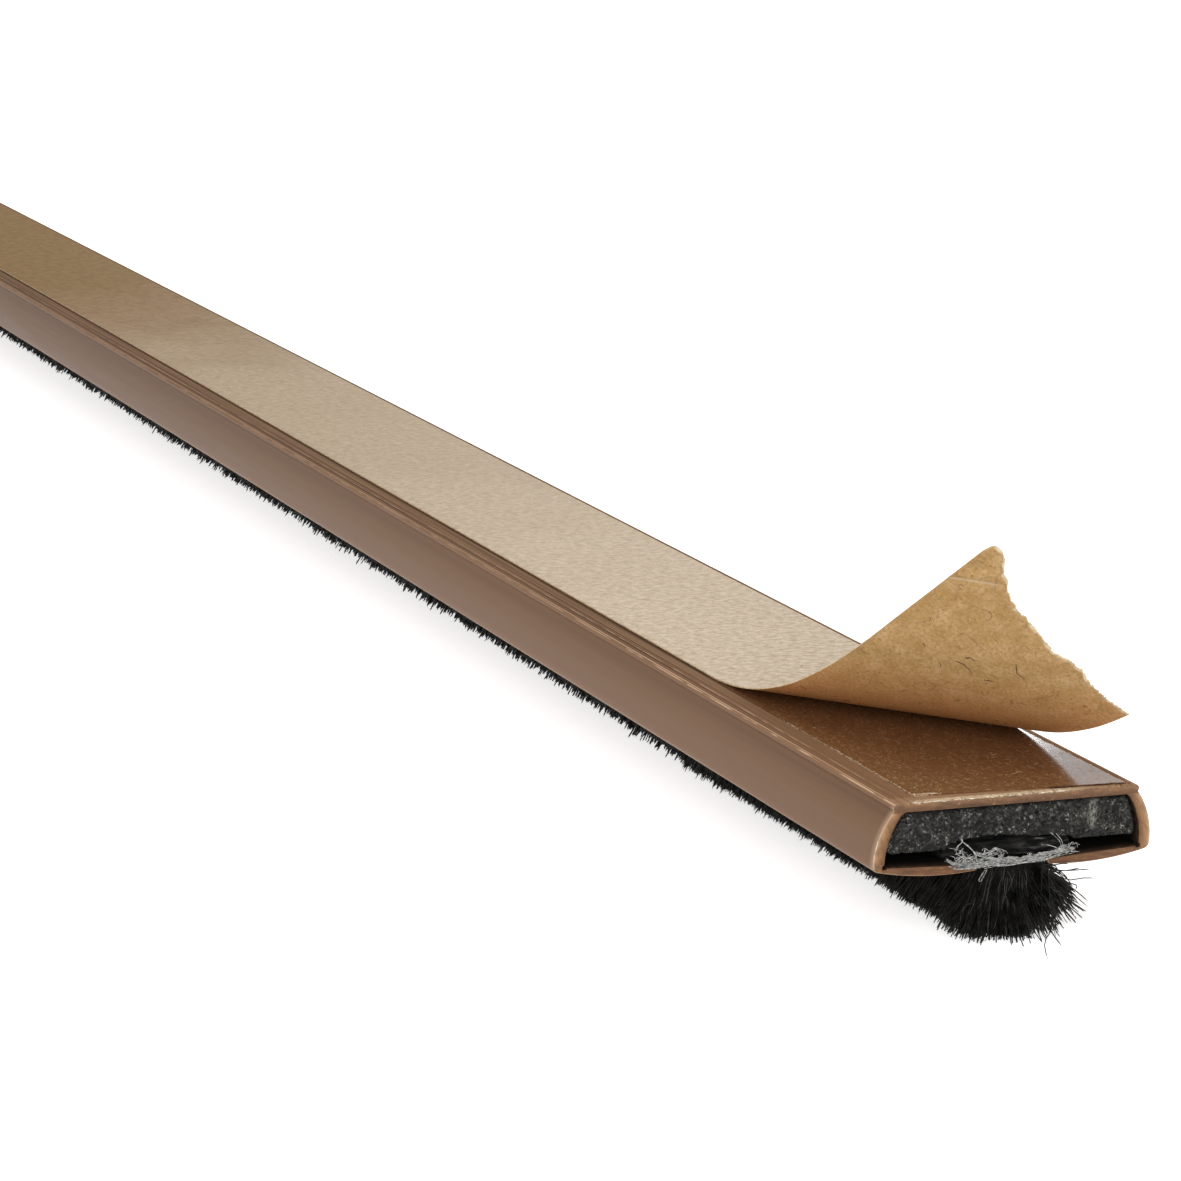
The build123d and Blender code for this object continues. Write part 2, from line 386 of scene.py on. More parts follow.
def mottled_material(name, kind, dark, light, stretch=(1, 1, 1)):
    """Material that wavers between two tones."""
    scale, detail, uneven, (low, high), rough_level, specular, relief = kind
    s = Shader(name)
    fac = s.noise(s.place(stretch), scale, detail, uneven)
    bump = s.bump(fac, relief, 0.04 * mm) if relief else None
    return s.finish(s.skin(s.ramp(fac, (low, dark), (high, light)), rough_level, specular, bump))


def core_material():
    """Charcoal filler of crushed grains: black pits, grey grains, and a few pale ones as painted glints."""
    s = Shader("filler_grains")
    place = s.place()
    across, along, height = s.axes(place)
    grains = s.node("TexVoronoi", {"feature": "F1"}, Vector=place, Scale=6000.0)
    fine = s.noise(place, 6500.0, 5.0, 0.8)
    coarse = s.noise(place, 1300.0, 5.0, 0.65)
    colour = s.ramp(
        s.plus(s.times(fine, 0.6), s.times(coarse, 0.4)),
        (0.41, (0.0012, 0.0011, 0.0009)),
        (0.46, (0.012, 0.0113, 0.0095)),
        (0.51, (0.026, 0.0245, 0.0205)),
        (0.55, (0.043, 0.041, 0.0345)),
        (0.59, (0.125, 0.119, 0.1)),
        (0.64, (0.4, 0.38, 0.33)),
    )
    grain_grey = s.node("SeparateColor", Color=grains.outputs["Color"]).outputs[0]
    colour = s.mix(1.0, colour, s.ramp(grain_grey, (0.1, 0.25), (0.5, 0.85), (0.9, 1.6)), "MULTIPLY")
    # Painted glints: a few grains coloured pale
    colour = s.mix(s.span(grain_grey, 0.95, 0.99, 0.0, 0.6), colour, (0.3, 0.29, 0.26))
    cracks = s.span(s.noise(place, 2300.0, 4.0, 0.6, 1.2), 0.42, 0.46, 1.0, 0.0)
    colour = s.mix(s.times(cracks, 0.85), colour, (0.0015, 0.0014, 0.001))
    on_face = s.span(along, near_y + 1.5 * mm, near_y + 0.8 * mm)
    # Painted shade where the sawn face lies more than about a millimetre back, in its hollow and chips,
    # within 20 mm of the end
    recess_shade = s.span(along, near_y + 0.5 * mm, near_y + 1.1 * mm)
    recess_shade = s.times(recess_shade, s.span(along, near_y + 20 * mm, near_y + 10 * mm))
    colour = s.mix(recess_shade, colour, (0.002, 0.002, 0.0015))
    # A pale smear of plastic on the right part of the sawn face
    from_smear = s.size(s.minus(across, 6.15 * mm))
    streaks = s.noise(s.place((1, 1, 2.5)), 5200.0, 5.0, 0.75)
    smear = s.times(s.span(from_smear, 0.6 * mm, 0.1 * mm), s.span(streaks, 0.44, 0.56))
    smear = s.times(smear, s.span(height, core_low.z + 0.4 * mm, core_low.z + 1.2 * mm))
    colour = s.mix(s.times(smear, on_face), colour, (0.24, 0.232, 0.2))
    # The upper edge lies in the shade of the plastic
    shade = s.span(height, core_high.z - 0.32 * mm, core_high.z - 0.08 * mm, 0.0, 0.85)
    colour = s.mix(s.times(shade, on_face), colour, (0.003, 0.003, 0.003))
    bump = s.bump(s.plus(grains.outputs["Distance"], fine), 0.8, 0.1 * mm)
    return s.finish(s.skin(colour, s.span(grain_grey, 0.0, 1.0, 0.7, 0.4), 0.22, bump))


def woven_material():
    """Woven tape painted near black as the deep shade behind its frayed yarns, with a few grey threads
    across.
    """
    s = Shader("woven_tape")
    place = s.place()
    threads = s.noise(s.place((6, 1, 1)), 4200.0, 4.0, 0.6)
    patch = s.noise(place, 700.0, 4.0, 0.6)
    colour = s.ramp(threads, (0.45, (0.0025, 0.0025, 0.0022)), (0.66, (0.03, 0.029, 0.027)))
    on_right = s.span(s.axes(place)[0], 0.8 * mm, 2.2 * mm)
    grey = s.times(s.span(patch, 0.45, 0.6, 0.2, 0.8), on_right)
    colour = s.mix(s.times(grey, s.span(threads, 0.5, 0.62)), colour, (0.16, 0.155, 0.145))
    return s.finish(s.skin(colour, 0.8, 0.15, s.bump(threads, 0.8, 0.1 * mm)))


def adhesive_material():
    """Clear tacky adhesive over the brown plastic: glossy, with fine bubbles and a ragged pale border."""
    s = Shader("glossy_adhesive")
    place = s.place()
    across, y, _ = s.axes(place)
    bubbles = s.noise(place, 2600.0, 6.0, 0.72)
    patches = s.noise(place, 260.0, 4.0, 0.55)
    colour = s.ramp(
        bubbles,
        (0.36, (0.12, 0.053, 0.021)),
        (0.56, (0.172, 0.081, 0.034)),
        (0.7, (0.3, 0.168, 0.088)),
    )
    lined = s.noise(s.place((1, 5, 1)), 4200.0, 3.0, 0.6)
    colour = s.mix(s.span(lined, 0.58, 0.72, 0.0, 0.35), colour, (0.42, 0.27, 0.15))
    specks = s.span(s.noise(place, 4400.0, 4.0, 0.6), 0.64, 0.7)
    colour = s.mix(s.times(specks, 0.45), colour, (0.5, 0.34, 0.2))
    left_gap = s.minus(across, paper_middle - paper_width / 2 - bare_overhang)
    border = s.smaller(left_gap, s.minus(paper_width + bare_overhang, left_gap))
    broken = s.times(s.noise(place, 2300.0, 5.0, 0.75), -0.3 * mm)
    pale = s.span(s.plus(border, broken), -0.08 * mm, -0.16 * mm, 0.0, 0.75)
    # A foamy white patch where the front edge meets the left border
    along = s.minus(y, near_y + front_setback_left)
    foam = s.times(s.span(left_gap, 1.7 * mm, 0.9 * mm), s.span(along, 0.45 * mm, 0.2 * mm))
    foam = s.times(foam, s.span(s.noise(place, 5200.0, 2.0), 0.4, 0.55))
    pale = s.larger(pale, s.times(foam, 0.9))
    colour = s.mix(pale, colour, (0.6, 0.4, 0.25))
    bump = s.bump(bubbles, s.span(patches, 0.4, 0.7, 0.03, 0.14), 0.03 * mm)
    return s.finish(s.skin(colour, s.span(pale, 0.0, 0.6, 0.12, 0.8), 0.6, bump))


def paper_fibres(s, turns, low, high):
    """Thin strokes in several directions on the flat sheet, as a mask from 0 to 1."""
    total = None
    for turn in turns:
        lined = s.place((1, 5.0, 1), (0, 0, radians(turn)), uv=True)
        stroke = s.span(s.noise(lined, 2600.0, 2.0, 0.5, 0.5), low, high)
        total = stroke if total is None else s.larger(total, stroke)
    return total


def crease_highlight_mask(s, flat):
    """Mask of a painted highlight along the crease that runs over the paper near its torn corner."""
    from_x, from_y = crease_from
    to_x, to_y = crease_to
    x, y, _ = s.axes(flat)
    long = sqrt((to_x - from_x) ** 2 + (to_y - from_y) ** 2)
    right = s.times(s.minus(x, from_x), (to_y - from_y) / long)
    up = s.times(s.minus(y, from_y), (to_x - from_x) / long)
    wavering = s.plus(s.size(s.minus(right, up)), s.times(s.noise(flat, 2500.0, 2.0), -0.06 * mm))
    return s.times(s.span(wavering, 0.09 * mm, 0.0), s.span(x, to_x, to_x - 0.8 * mm))


def kraft_material():
    """Inner side of the release paper: tan kraft, softly clouded, with fine dark fibres."""
    s = Shader("kraft_inner_side")
    flat = s.place(uv=True)
    cloud = s.noise(flat, 700.0, 6.0, 0.66)
    colour = s.ramp(
        cloud, (0.36, (0.59, 0.38, 0.155)), (0.5, (0.71, 0.48, 0.215)), (0.64, (0.82, 0.6, 0.315))
    )
    broad = s.noise(flat, 240.0, 4.0, 0.55)
    colour = s.mix(s.span(broad, 0.42, 0.62, 0.0, 0.4), colour, (0.6, 0.385, 0.15))
    # Painted reflected light of the brown plastic: warmer and redder low down
    painted_bounce_light = s.span(s.axes(s.place())[2], 16.5 * mm, 11.5 * mm, 0.0, 0.85)
    colour = s.mix(painted_bounce_light, colour, (0.86, 0.42, 0.15))
    grain = s.noise(flat, 4200.0, 5.0, 0.8)
    colour = s.mix(s.span(grain, 0.5, 0.66, 0.0, 0.65), colour, (0.42, 0.23, 0.08))
    colour = s.mix(s.span(grain, 0.48, 0.34, 0.0, 0.35), colour, (0.9, 0.7, 0.42))
    shive = paper_fibres(s, (25, 60, 95, 150), 0.67, 0.72)
    colour = s.mix(s.times(shive, 0.3), colour, (0.26, 0.12, 0.04))
    speck = s.span(s.noise(flat, 4600.0, 3.0, 0.5), 0.62, 0.68)
    colour = s.mix(s.times(speck, 0.45), colour, (0.26, 0.12, 0.045))
    # Painted highlight along the crease
    colour = s.mix(s.times(crease_highlight_mask(s, flat), 0.5), colour, (0.9, 0.8, 0.64))
    bump = s.bump(s.noise(flat, 1800.0, 6.0, 0.7), 0.3, 0.04 * mm)
    glow = s.node("BsdfTranslucent", Color=colour, Normal=bump).outputs[0]
    both = s.node("MixShader", Fac=0.45, i1=s.skin(colour, 0.7, 0.2, bump), i2=glow)
    return s.finish(both.outputs[0])


def coated_material():
    """Outer side of the release paper: satin, with a painted pale sheen that fades to plain kraft along the
    strip, mottled in short streaks across it.
    """
    s = Shader("coated_outer_side")
    flat = s.place(uv=True)
    cloud = s.noise(s.place((1.7, 1, 1), uv=True), 2300.0, 6.0, 0.75)
    colour = s.ramp(
        cloud, (0.38, (0.37, 0.285, 0.18)), (0.5, (0.52, 0.415, 0.293)), (0.6, (0.62, 0.515, 0.4))
    )
    mottle = s.noise(flat, 900.0, 5.0, 0.7)
    colour = s.mix(s.span(mottle, 0.46, 0.64, 0.0, 0.4), colour, (0.41, 0.315, 0.2))
    # The painted sheen fades along the strip, from pale to plain kraft, with a wavering front between them
    wander = s.times(s.noise(flat, 60.0, 3.0, 0.6), 0.05)
    turns = s.times(s.plus(s.axes(flat)[1], s.minus(wander, 0.06)), painted_light_rate)
    wave = s.span(s.math("COSINE", turns), -1.0, 1.0)
    painted_sheen_gone = s.ramp(wave, (0.1, 1.0), (0.22, 0.9), (0.456, 0.5), (0.816, 0.36), (0.97, 0.12), (1.0, 0.04))
    plain = s.ramp(mottle, (0.42, (0.2, 0.115, 0.034)), (0.62, (0.145, 0.075, 0.017)))
    colour = s.mix(painted_sheen_gone, colour, plain)
    shive = paper_fibres(s, (60, 85, 105), 0.68, 0.73)
    colour = s.mix(s.times(shive, 0.4), colour, (0.17, 0.1, 0.045))
    bump = s.bump(cloud, 0.4, 0.05 * mm)
    return s.finish(s.skin(colour, s.span(cloud, 0.35, 0.65, 0.58, 0.68), 0.07, bump))


def torn_paper_material():
    """Raw fibres along the paper's torn end and cut edges."""
    return mottled_material("torn_fibres", torn_paper, (0.46, 0.31, 0.16), (0.78, 0.62, 0.42))


# Mesh building

def in_scene(name, data):
    thing = bpy.data.objects.new(name, data)
    bpy.context.scene.collection.objects.link(thing)
    return thing


def add_piece(name, points, faces, materials, replaces=(), kinds=None, uvs=None, crease=35):
    """A mesh piece that rides on the strip; kinds tells which material each face has."""
    mesh = bpy.data.meshes.new(name)
    mesh.from_pydata([tuple(p) for p in points], [], faces)
    for material in materials:
        mesh.materials.append(material)
    if kinds is not None:
        mesh.polygons.foreach_set("material_index", np.asarray(kinds, np.int32))
    if uvs is not None:
        layer = mesh.uv_layers.new(name="flat")
        corners = np.zeros(len(mesh.loops), np.int32)
        mesh.loops.foreach_get("vertex_index", corners)
        layer.data.foreach_set("uv", np.asarray(uvs)[corners].ravel())
    mesh.polygons.foreach_set("use_smooth", [True] * len(mesh.polygons))
    mesh.set_sharp_from_angle(angle=radians(crease))
    mesh.update()
    piece = in_scene(name, mesh)
    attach(piece, "root")
    if replaces:
        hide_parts(*replaces)
    return piece


def noise_at(x, y, z=0.0):
    return noise.noise(Vector((x, y, z)))


def rough(points, size, seed=0.0):
    """Smooth noise from -1 to 1 at each point, for features of one size in metres."""
    return np.array([noise.noise(Vector(p) / size + Vector((seed, 0, 0))) for p in points])


def unit(vectors):
    return vectors / (np.linalg.norm(vectors, axis=-1, keepdims=True) + 1e-12)


def spaced(points, steps):
    """Evenly spaced places along a line of a few points."""
    places = np.linspace(0, len(points) - 1, steps)
    return np.column_stack([np.interp(places, range(len(points)), values) for values in zip(*points)])


def softened(line):
    line[1:-1] = (line[:-2] + 2 * line[1:-1] + line[2:]) / 4
    return line


def tube_faces(sides, rings, first=0, closed=True):
    """Faces around a tube whose rings of points follow one another, and over its two ends."""
    faces = []
    for ring in range(rings - 1):
        for i in range(sides):
            a = first + ring * sides + i
            b = first + ring * sides + (i + 1) % sides
            faces.append((a, b, b + sides, a + sides))
    if closed:
        last = first + (rings - 1) * sides
        faces.append(tuple(range(first + sides - 1, first - 1, -1)))
        faces.append(tuple(range(last, last + sides)))
    return faces


def grid_faces(index):
    return np.stack([index[:-1, :-1], index[:-1, 1:], index[1:, 1:], index[1:, :-1]], axis=-1).reshape(-1, 4)


def grid_rim(index):
    return [int(i) for i in (*index[0], *index[1:, -1], *index[-1, -2::-1], *index[-2:0:-1, 0])]


def swept(outline, stations, closed=True):
    """Points and faces of a closed outline of X and Z carried along stations of Y.

    Each station is its Y and how far the outline is drawn in there."""
    ahead = np.roll(outline, -1, axis=0) - np.roll(outline, 1, axis=0)
    normal = unit(np.stack([-ahead[:, 1], ahead[:, 0]], axis=1))
    rings = [outline - normal * inset for _, inset in stations]
    points = [np.insert(ring, 1, y, axis=1) for ring, (y, _) in zip(rings, stations)]
    return np.concatenate(points), tube_faces(len(outline), len(stations), closed=closed)


def hair_radii(thin, thick, count, taper):
    """Radii of hairs along their steps, in metres, from a range in millimetres."""
    return np.outer(rng.uniform(thin, thick, count) * mm, taper)


def strands(name, paths, radii, material):
    """One mesh of thin three-sided hairs, each tapered to its tip; paths is hairs by points by 3."""
    hairs, steps = paths.shape[:2]
    tangent = unit(np.gradient(paths, axis=1))
    guide = np.where(np.abs(tangent[..., 1:2]) > 0.8, [[[1.0, 0.0, 0.0]]], [[[0.0, 1.0, 0.0]]])
    side = unit(np.cross(tangent, guide))
    up = np.cross(tangent, side)
    rings = steps - 1
    turns = np.arange(3) * 2 * np.pi / 3
    spoke = side[:, :rings, None] * np.cos(turns)[:, None] + up[:, :rings, None] * np.sin(turns)[:, None]
    ring_points = paths[:, :rings, None] + spoke * radii[:, :rings, None, None]
    points = np.concatenate([ring_points.reshape(hairs, rings * 3, 3), paths[:, -1:]], axis=1)
    pattern = [(2, 1, 0)]
    for a, b, c, d in tube_faces(3, rings, closed=False):
        pattern += [(a, b, c), (a, c, d)]
    last = (rings - 1) * 3
    pattern += [(last + i, last + (i + 1) % 3, rings * 3) for i in range(3)]
    faces = (np.arange(hairs)[:, None, None] * (rings * 3 + 1) + np.array(pattern)[None]).reshape(-1, 3)
    return add_piece(name, points.reshape(-1, 3), faces.tolist(), [material], crease=80)


def sheet_solid(name, top, low, index, materials, replaces, uvs=None, frayed=None):
    """Closed thin solid from two grids of points, with one material each for top, underside and edge.

    Cells marked as frayed show the edge's material on both sides."""
    upper = grid_faces(index)
    base = len(top)
    rim = grid_rim(index)
    edge = [(p, p + base, q + base, q) for p, q in zip(rim, rim[1:] + rim[:1])]
    faces = upper.tolist() + (upper[:, ::-1] + base).tolist() + edge
    kinds = np.repeat([0, 1, 2], [len(upper), len(upper), len(edge)])
    if frayed is not None:
        kinds[: 2 * len(upper)][np.tile(frayed.ravel(), 2)] = 2
    if len(materials) == 1:
        kinds[:] = 0
    if uvs is not None:
        uvs = np.concatenate([uvs, uvs])
    points = np.concatenate([top, low])
    return add_piece(name, points, faces, materials, replaces, kinds, uvs, crease=50)


# Channel

def side_x(z, inset=0.0):
    return overall_width / 2 - inset - side_radius + np.sqrt(side_radius**2 - (z - widest_z) ** 2)


def lip_under_z(x):
    reach = overall_width / 2 - lip_low_x
    radius = (reach**2 + lip_rise**2) / (2 * lip_rise)
    return lip_low_z + radius - np.sqrt(radius**2 - (x - lip_low_x) ** 2)


def arc(x, z, radius, start, end, steps):
    angles = np.radians(np.linspace(start, end, steps + 1))
    return np.column_stack([x + radius * np.cos(angles), z + radius * np.sin(angles)])


def rounded(before, corner, after, steps=5):
    """Soft corner from one point to another, drawn towards the sharp corner between them."""
    t = np.linspace(0, 1, steps + 1)[:, None]
    return (1 - t) ** 2 * np.array(before) + 2 * t * (1 - t) * np.array(corner) + t**2 * np.array(after)


def channel_outline():
    """Closed outline of the channel's section, as X and Z."""
    bead_x = side_x(top_z - bead_radius) + bead_overhang
    parts = [[(0, top_z)]]
    for place in sorted(groove_places + fine_places, reverse=True):
        middle = bead_x - place
        depth, half = (groove_depth, groove_width / 2) if place in groove_places else fine_groove
        floor = top_z - depth
        parts.append([(middle - half, top_z), (middle - half * 0.45, floor)])
        parts.append([(middle + half * 0.45, floor), (middle + half, top_z)])
    parts.append(arc(bead_x - bead_radius, top_z - bead_radius, bead_radius, 90, -42, 9))
    corner_x = side_x(lip_low_z + lip_rise)
    side_z = np.linspace(top_z - 2.1 * bead_radius, lip_low_z + lip_rise + corner_radius, 18)
    parts.append(np.column_stack([side_x(side_z), side_z]))
    edge_x = slot_width / 2 + lip_edge_radius
    under_x = np.linspace(corner_x - corner_radius, edge_x, 16)
    under = np.column_stack([under_x, lip_under_z(under_x)])
    parts.append(rounded(parts[-1][-1], (corner_x, lip_under_z(corner_x)), under[0])[1:-1])
    parts.append(under)
    parts.append(arc(edge_x, lip_under_z(edge_x) + lip_edge_radius, lip_edge_radius, -100, -180, 4))
    parts.append(arc(edge_x, lip_top_z - lip_sag - lip_edge_radius, lip_edge_radius, 180, 90, 4)[1:])
    parts.append(arc(side_x(lip_top_z, side_wall), lip_top_z, hinge_groove_radius, 180, 450, 8))
    inner_z = np.linspace(lip_top_z + 1.5 * hinge_groove_radius, web_under_z - cavity_corner_radius, 12)
    parts.append(np.column_stack([side_x(inner_z, side_wall), inner_z]))
    roof_x = side_x(web_under_z, side_wall)
    roof = (roof_x - cavity_corner_radius, web_under_z)
    parts.append(rounded(parts[-1][-1], (roof_x, web_under_z), roof)[1:])
    right = np.concatenate([np.asarray(p, float) for p in parts])
    return np.concatenate([right, [(0, web_under_z)], right[1:][::-1] * [-1, 1]])


def make_channel(skin, cut, inside):
    outline = channel_outline()
    count = len(outline)
    ends = ((0.0, 0.05), (0.05, 0.0), (0.3, 0.0), (1.0, 0.0))
    stations = [(near_y + d * mm, inset * mm) for d, inset in ends]
    stations += [(y, 0.0) for y in np.linspace(near_y, far_y, 60)[1:-1]]
    stations += [(far_y - d * mm, inset * mm) for d, inset in reversed(ends)]
    points, faces = swept(outline, stations, closed=False)
    wobble = rough(points[:count], 0.35 * mm, 3.0) * 0.05 * mm
    points[: 3 * count, 1] += saw_lean * (points[: 3 * count, 2] - lip_low_z)
    points[:count, 1] += np.abs(wobble)
    # Faces between the lips and the web, within the sides
    x, z = np.abs(outline + np.roll(outline, -1, axis=0)).T / 2
    hollow = (z > lip_top_z - lip_sag - 0.01 * mm) & (z < web_under_z + 0.01 * mm)
    hollow &= x < side_x(z, side_wall) + 1.3 * hinge_groove_radius
    kinds = [2 if inner else 0 for inner in hollow] * (len(stations) - 1)
    last = (len(stations) - 1) * count
    cap = tessellate_polygon([[Vector((x, z, 0)) for x, z in outline]])
    faces += [corners[::-1] for corners in cap]
    faces += [tuple(last + i for i in corners) for corners in cap]
    kinds += [1] * (2 * len(cap))
    return add_piece("channel", points, faces, [skin, cut, inside], ("profile",), kinds)


def adhesive_front(x):
    """Where the front edge of the adhesive runs: on a slight slant behind the sawn end."""
    share = (x - adhesive_low.x) / paper_width
    return near_y + front_setback_left + (front_setback_right - front_setback_left) * share


def make_burrs_and_shadow_bits(name, first, last, count, long, material, on_adhesive=False):
    """Torn slivers along the top rim of the sawn end, or dark slivers as a painted shadow along the front
    edge of the adhesive.
    """
    start = rng.uniform(first, last, count) * mm
    length = rng.gamma(1.6, long, count) * mm + 0.04 * mm
    heading = rng.choice([-1, 1], count) * rng.uniform(0.6, 1.0, count)
    steps = np.linspace(0, 1, 4)
    x = start[:, None] + (heading * length)[:, None] * steps
    y = top_front_y + 0.03 * mm + rng.uniform(-0.5, 0.3, count)[:, None] * length[:, None] * steps
    lift = (rng.uniform(-0.25, 0.35, count) * length)[:, None]
    z = top_z - rng.uniform(0.0, 0.06, count)[:, None] * mm + lift * steps * (1.4 - 0.6 * steps)
    if on_adhesive:
        y = adhesive_front(x) - (0.02 + np.abs(rng.normal(0, 0.05, count)))[:, None] * mm
        z = np.full(x.shape, top_z + 0.03 * mm)
    thick = (0.02, 0.05) if on_adhesive else (0.014, 0.042)
    radii = hair_radii(*thick, count, (1.0, 0.9, 0.6, 0.0))
    return strands(name, np.stack([x, y, z], axis=2), radii, material)


def make_edge_highlight(material):
    """Pale slivers as a painted highlight along the outer corner of the sawn end, on the lower half of the
    left side.
    """
    count = 40
    z = rng.uniform(lip_low_z + 0.9 * mm, lip_low_z + 2.9 * mm, count)
    long = rng.gamma(2.0, 0.12, count) * mm
    height = z[:, None] + long[:, None] * np.linspace(-0.5, 0.5, 4)
    x = -side_x(height) + 0.06 * mm
    y = near_y + rng.uniform(-0.02, 0.1, count)[:, None] * mm + saw_lean * (height - lip_low_z)
    radii = hair_radii(0.012, 0.025, count, (0.5, 1.0, 0.8, 0.0))
    return strands("edge_highlight_slivers", np.stack([x, y, height], axis=2), radii, material)


# Filler core

def make_core(material):
    """The filler, with a broken, grainy face at both sawn ends."""
    rows, columns = 34, 240
    inset = side_wall + core_clearance
    low, high = core_low.z, core_high.z
    face = []
    for z in np.linspace(low, high, rows):
        half = side_x(z, inset)
        for edge in (z - low, high - z):
            short = max(0.0, core_corner_radius - edge)
            half -= core_corner_radius - sqrt(core_corner_radius**2 - short**2)
        face += [(t * half, near_y, z) for t in np.linspace(-1, 1, columns)]
    face = np.array(face)
    x, z = face[:, 0], face[:, 2]
    grain = rough(face, 0.2 * mm, 5.0) * 0.12 + rough(face, 0.6 * mm, 9.0) * 0.08
    chips = np.clip(rough(face, 0.4 * mm, 21.0) - 0.3, 0, 1) * 0.6
    from_edge = np.minimum(high - z, side_x(z, inset) - np.abs(x)) / mm
    crumbled = np.clip(1 - from_edge / 0.3, 0, 1) * (0.3 + 0.25 * rough(face, 0.5 * mm, 33.0))
    # The lower middle of the face has broken away into a hollow above the tape
    hollow_x = np.array((-5.8, -5.0, -3.3, -1.6, 0.75, 2.7, 4.2, 5.4)) * mm
    hollow_rise = (0.0, 0.4, 0.68, 0.72, 0.5, 0.36, 0.28, 0.0)
    rise = np.interp(x, hollow_x, hollow_rise) + 0.12 * rough(face, 0.7 * mm, 41.0)
    hollow = np.clip((rise - (z - low) / mm) / 0.2, 0, 1) * (rise > 0.15)
    near, far = face.copy(), face.copy()
    near[:, 1] += (0.06 - grain + chips + crumbled + 1.5 * hollow) * mm + saw_lean * (z - lip_low_z)
    far[:, 1] = far_y - (0.06 - grain) * mm
    index = np.arange(rows * columns).reshape(rows, columns)
    rim = grid_rim(index)
    count = len(rim)
    stations = [near_y + 2.8 * mm, near_y + 4.5 * mm, *np.linspace(near_y + 40 * mm, far_y - 0.4 * mm, 24)]
    rings = [np.column_stack([x[rim], np.full(count, y), z[rim]]) for y in stations]
    far_base = len(face) + count * len(stations)
    loops = [rim]
    loops += [range(first, first + count) for first in range(len(face), far_base, count)]
    loops.append([far_base + i for i in rim])
    faces = grid_faces(index).tolist()
    for first, second in zip(loops, loops[1:]):
        for i in range(count):
            j = (i + 1) % count
            faces.append((first[j], first[i], second[i], second[j]))
    faces += (grid_faces(index)[:, ::-1] + far_base).tolist()
    points = np.concatenate([near, *rings, far])
    return add_piece("filler", points, faces, [material], ("core_strip",), crease=70)


# Woven backing and its frayed yarns

def make_backing(material):
    half = backing_high.x
    low, high = backing_low.z - lip_sag, backing_high.z
    flat = np.linspace(-half + 0.4 * mm, half - 0.4 * mm, 60)
    top = np.column_stack([flat, np.full(60, high)])
    bottom = np.column_stack([flat[::-1], np.full(60, low)])
    right = arc(0, 0, 1, 80, -80, 6) * [0.4 * mm, (high - low) / 2] + [half - 0.4 * mm, (low + high) / 2]
    outline = np.concatenate([top, right, bottom, right[::-1] * [-1, 1]])
    stations = [(near_y + 1.1 * mm, 0.05 * mm), (near_y + 1.2 * mm, 0.0)]
    stations += [(y, 0.0) for y in np.linspace(near_y + 10 * mm, far_y - 0.6 * mm, 30)]
    stations += [(far_y - 0.5 * mm, 0.05 * mm)]
    points, faces = swept(outline, stations)
    return add_piece("woven_tape", points, faces, [material], ("pile_backing",), crease=60)


# Cords of the frayed tape edge, as places across the strip, heights and radii in millimetres: the long
# one over the slot, then looser ones above it
yarn_cords = (
    (
        (-5.4, -4.8, -3.6, -1.7, 0.0, 1.5, 2.4, 3.3, 4.0, 4.7),
        (5.85, 5.5, 5.36, 5.36, 5.44, 5.48, 5.54, 5.74, 5.95, 5.88),
        (0.05, 0.09, 0.12, 0.15, 0.15, 0.14, 0.14, 0.15, 0.22, 0.09),
    ),
    (
        (-5.0, -4.4, -3.4, -2.4, -1.2, 0.2),
        (5.75, 5.62, 5.68, 5.72, 5.66, 5.6),
        (0.05, 0.1, 0.09, 0.11, 0.12, 0.06),
    ),
    (
        (-3.7, -2.9, -2.2, -1.6, -1.15, -1.3),
        (5.95, 6.1, 6.25, 6.42, 6.2, 5.7),
        (0.04, 0.07, 0.08, 0.09, 0.08, 0.05),
    ),
    ((0.0, 0.7, 1.3, 2.0, 2.7), (5.6, 5.74, 5.78, 5.76, 5.68), (0.05, 0.08, 0.09, 0.08, 0.04)),
)


def make_cords(name, cords, material):
    sides = 12
    count = 160
    turn = np.arange(sides) * 2 * np.pi / sides
    t = np.linspace(0, 1, count)
    points, faces = [], []
    for number, cord in enumerate(cords):
        x, z, thick = spaced(list(zip(*cord)), count).T
        middle = softened(np.column_stack([x, t * 0 - 0.14 - 0.06 * number, z]))
        middle[:, 1:] += 0.06 * np.column_stack([np.sin(t * 21 + number), np.cos(t * 17 + 2 * number)])
        tangent = unit(np.gradient(middle, axis=0))
        side = np.cross(tangent, [0.0, 1.0, 0.0])
        up = np.cross(tangent, side)
        ring = side[:, None] * np.cos(turn)[:, None] + up[:, None] * np.sin(turn)[:, None]
        smooth = (middle[:, None] + ring * thick[:, None, None]).reshape(-1, 3)
        fibrous = rough(smooth * [0.4, 1, 1], 0.08, 4.0) * 0.35 + rough(smooth, 0.25, 12.0) * 0.4
        radius = thick[:, None] * (1 + fibrous.reshape(count, sides))
        points.append((middle[:, None] + ring * radius[..., None]).reshape(-1, 3))
        faces += tube_faces(sides, count, number * count * sides)
    points = np.concatenate(points)
    points[:, 1] += near_y / mm
    return add_piece(name, points * mm, faces, [material], crease=70)


# Groups of filaments that fray out of the cords: how many, where along the band, how far above it,
# how far they run and how wide they curl
yarn_groups = (
    (105, (-4.4, 4.0), (-0.22, 0.22), 1.7, 0.07),
    (26, (-5.0, -3.2), (0.15, 1.1), 0.8, 0.3),
    (16, (-3.2, -1.0), (0.25, 0.9), 1.0, 0.25),
    (20, (3.3, 4.7), (-0.1, 0.4), 0.5, 0.24),
    (5, (-1.0, 2.0), (0.1, 0.25), 1.0, 0.12),
)
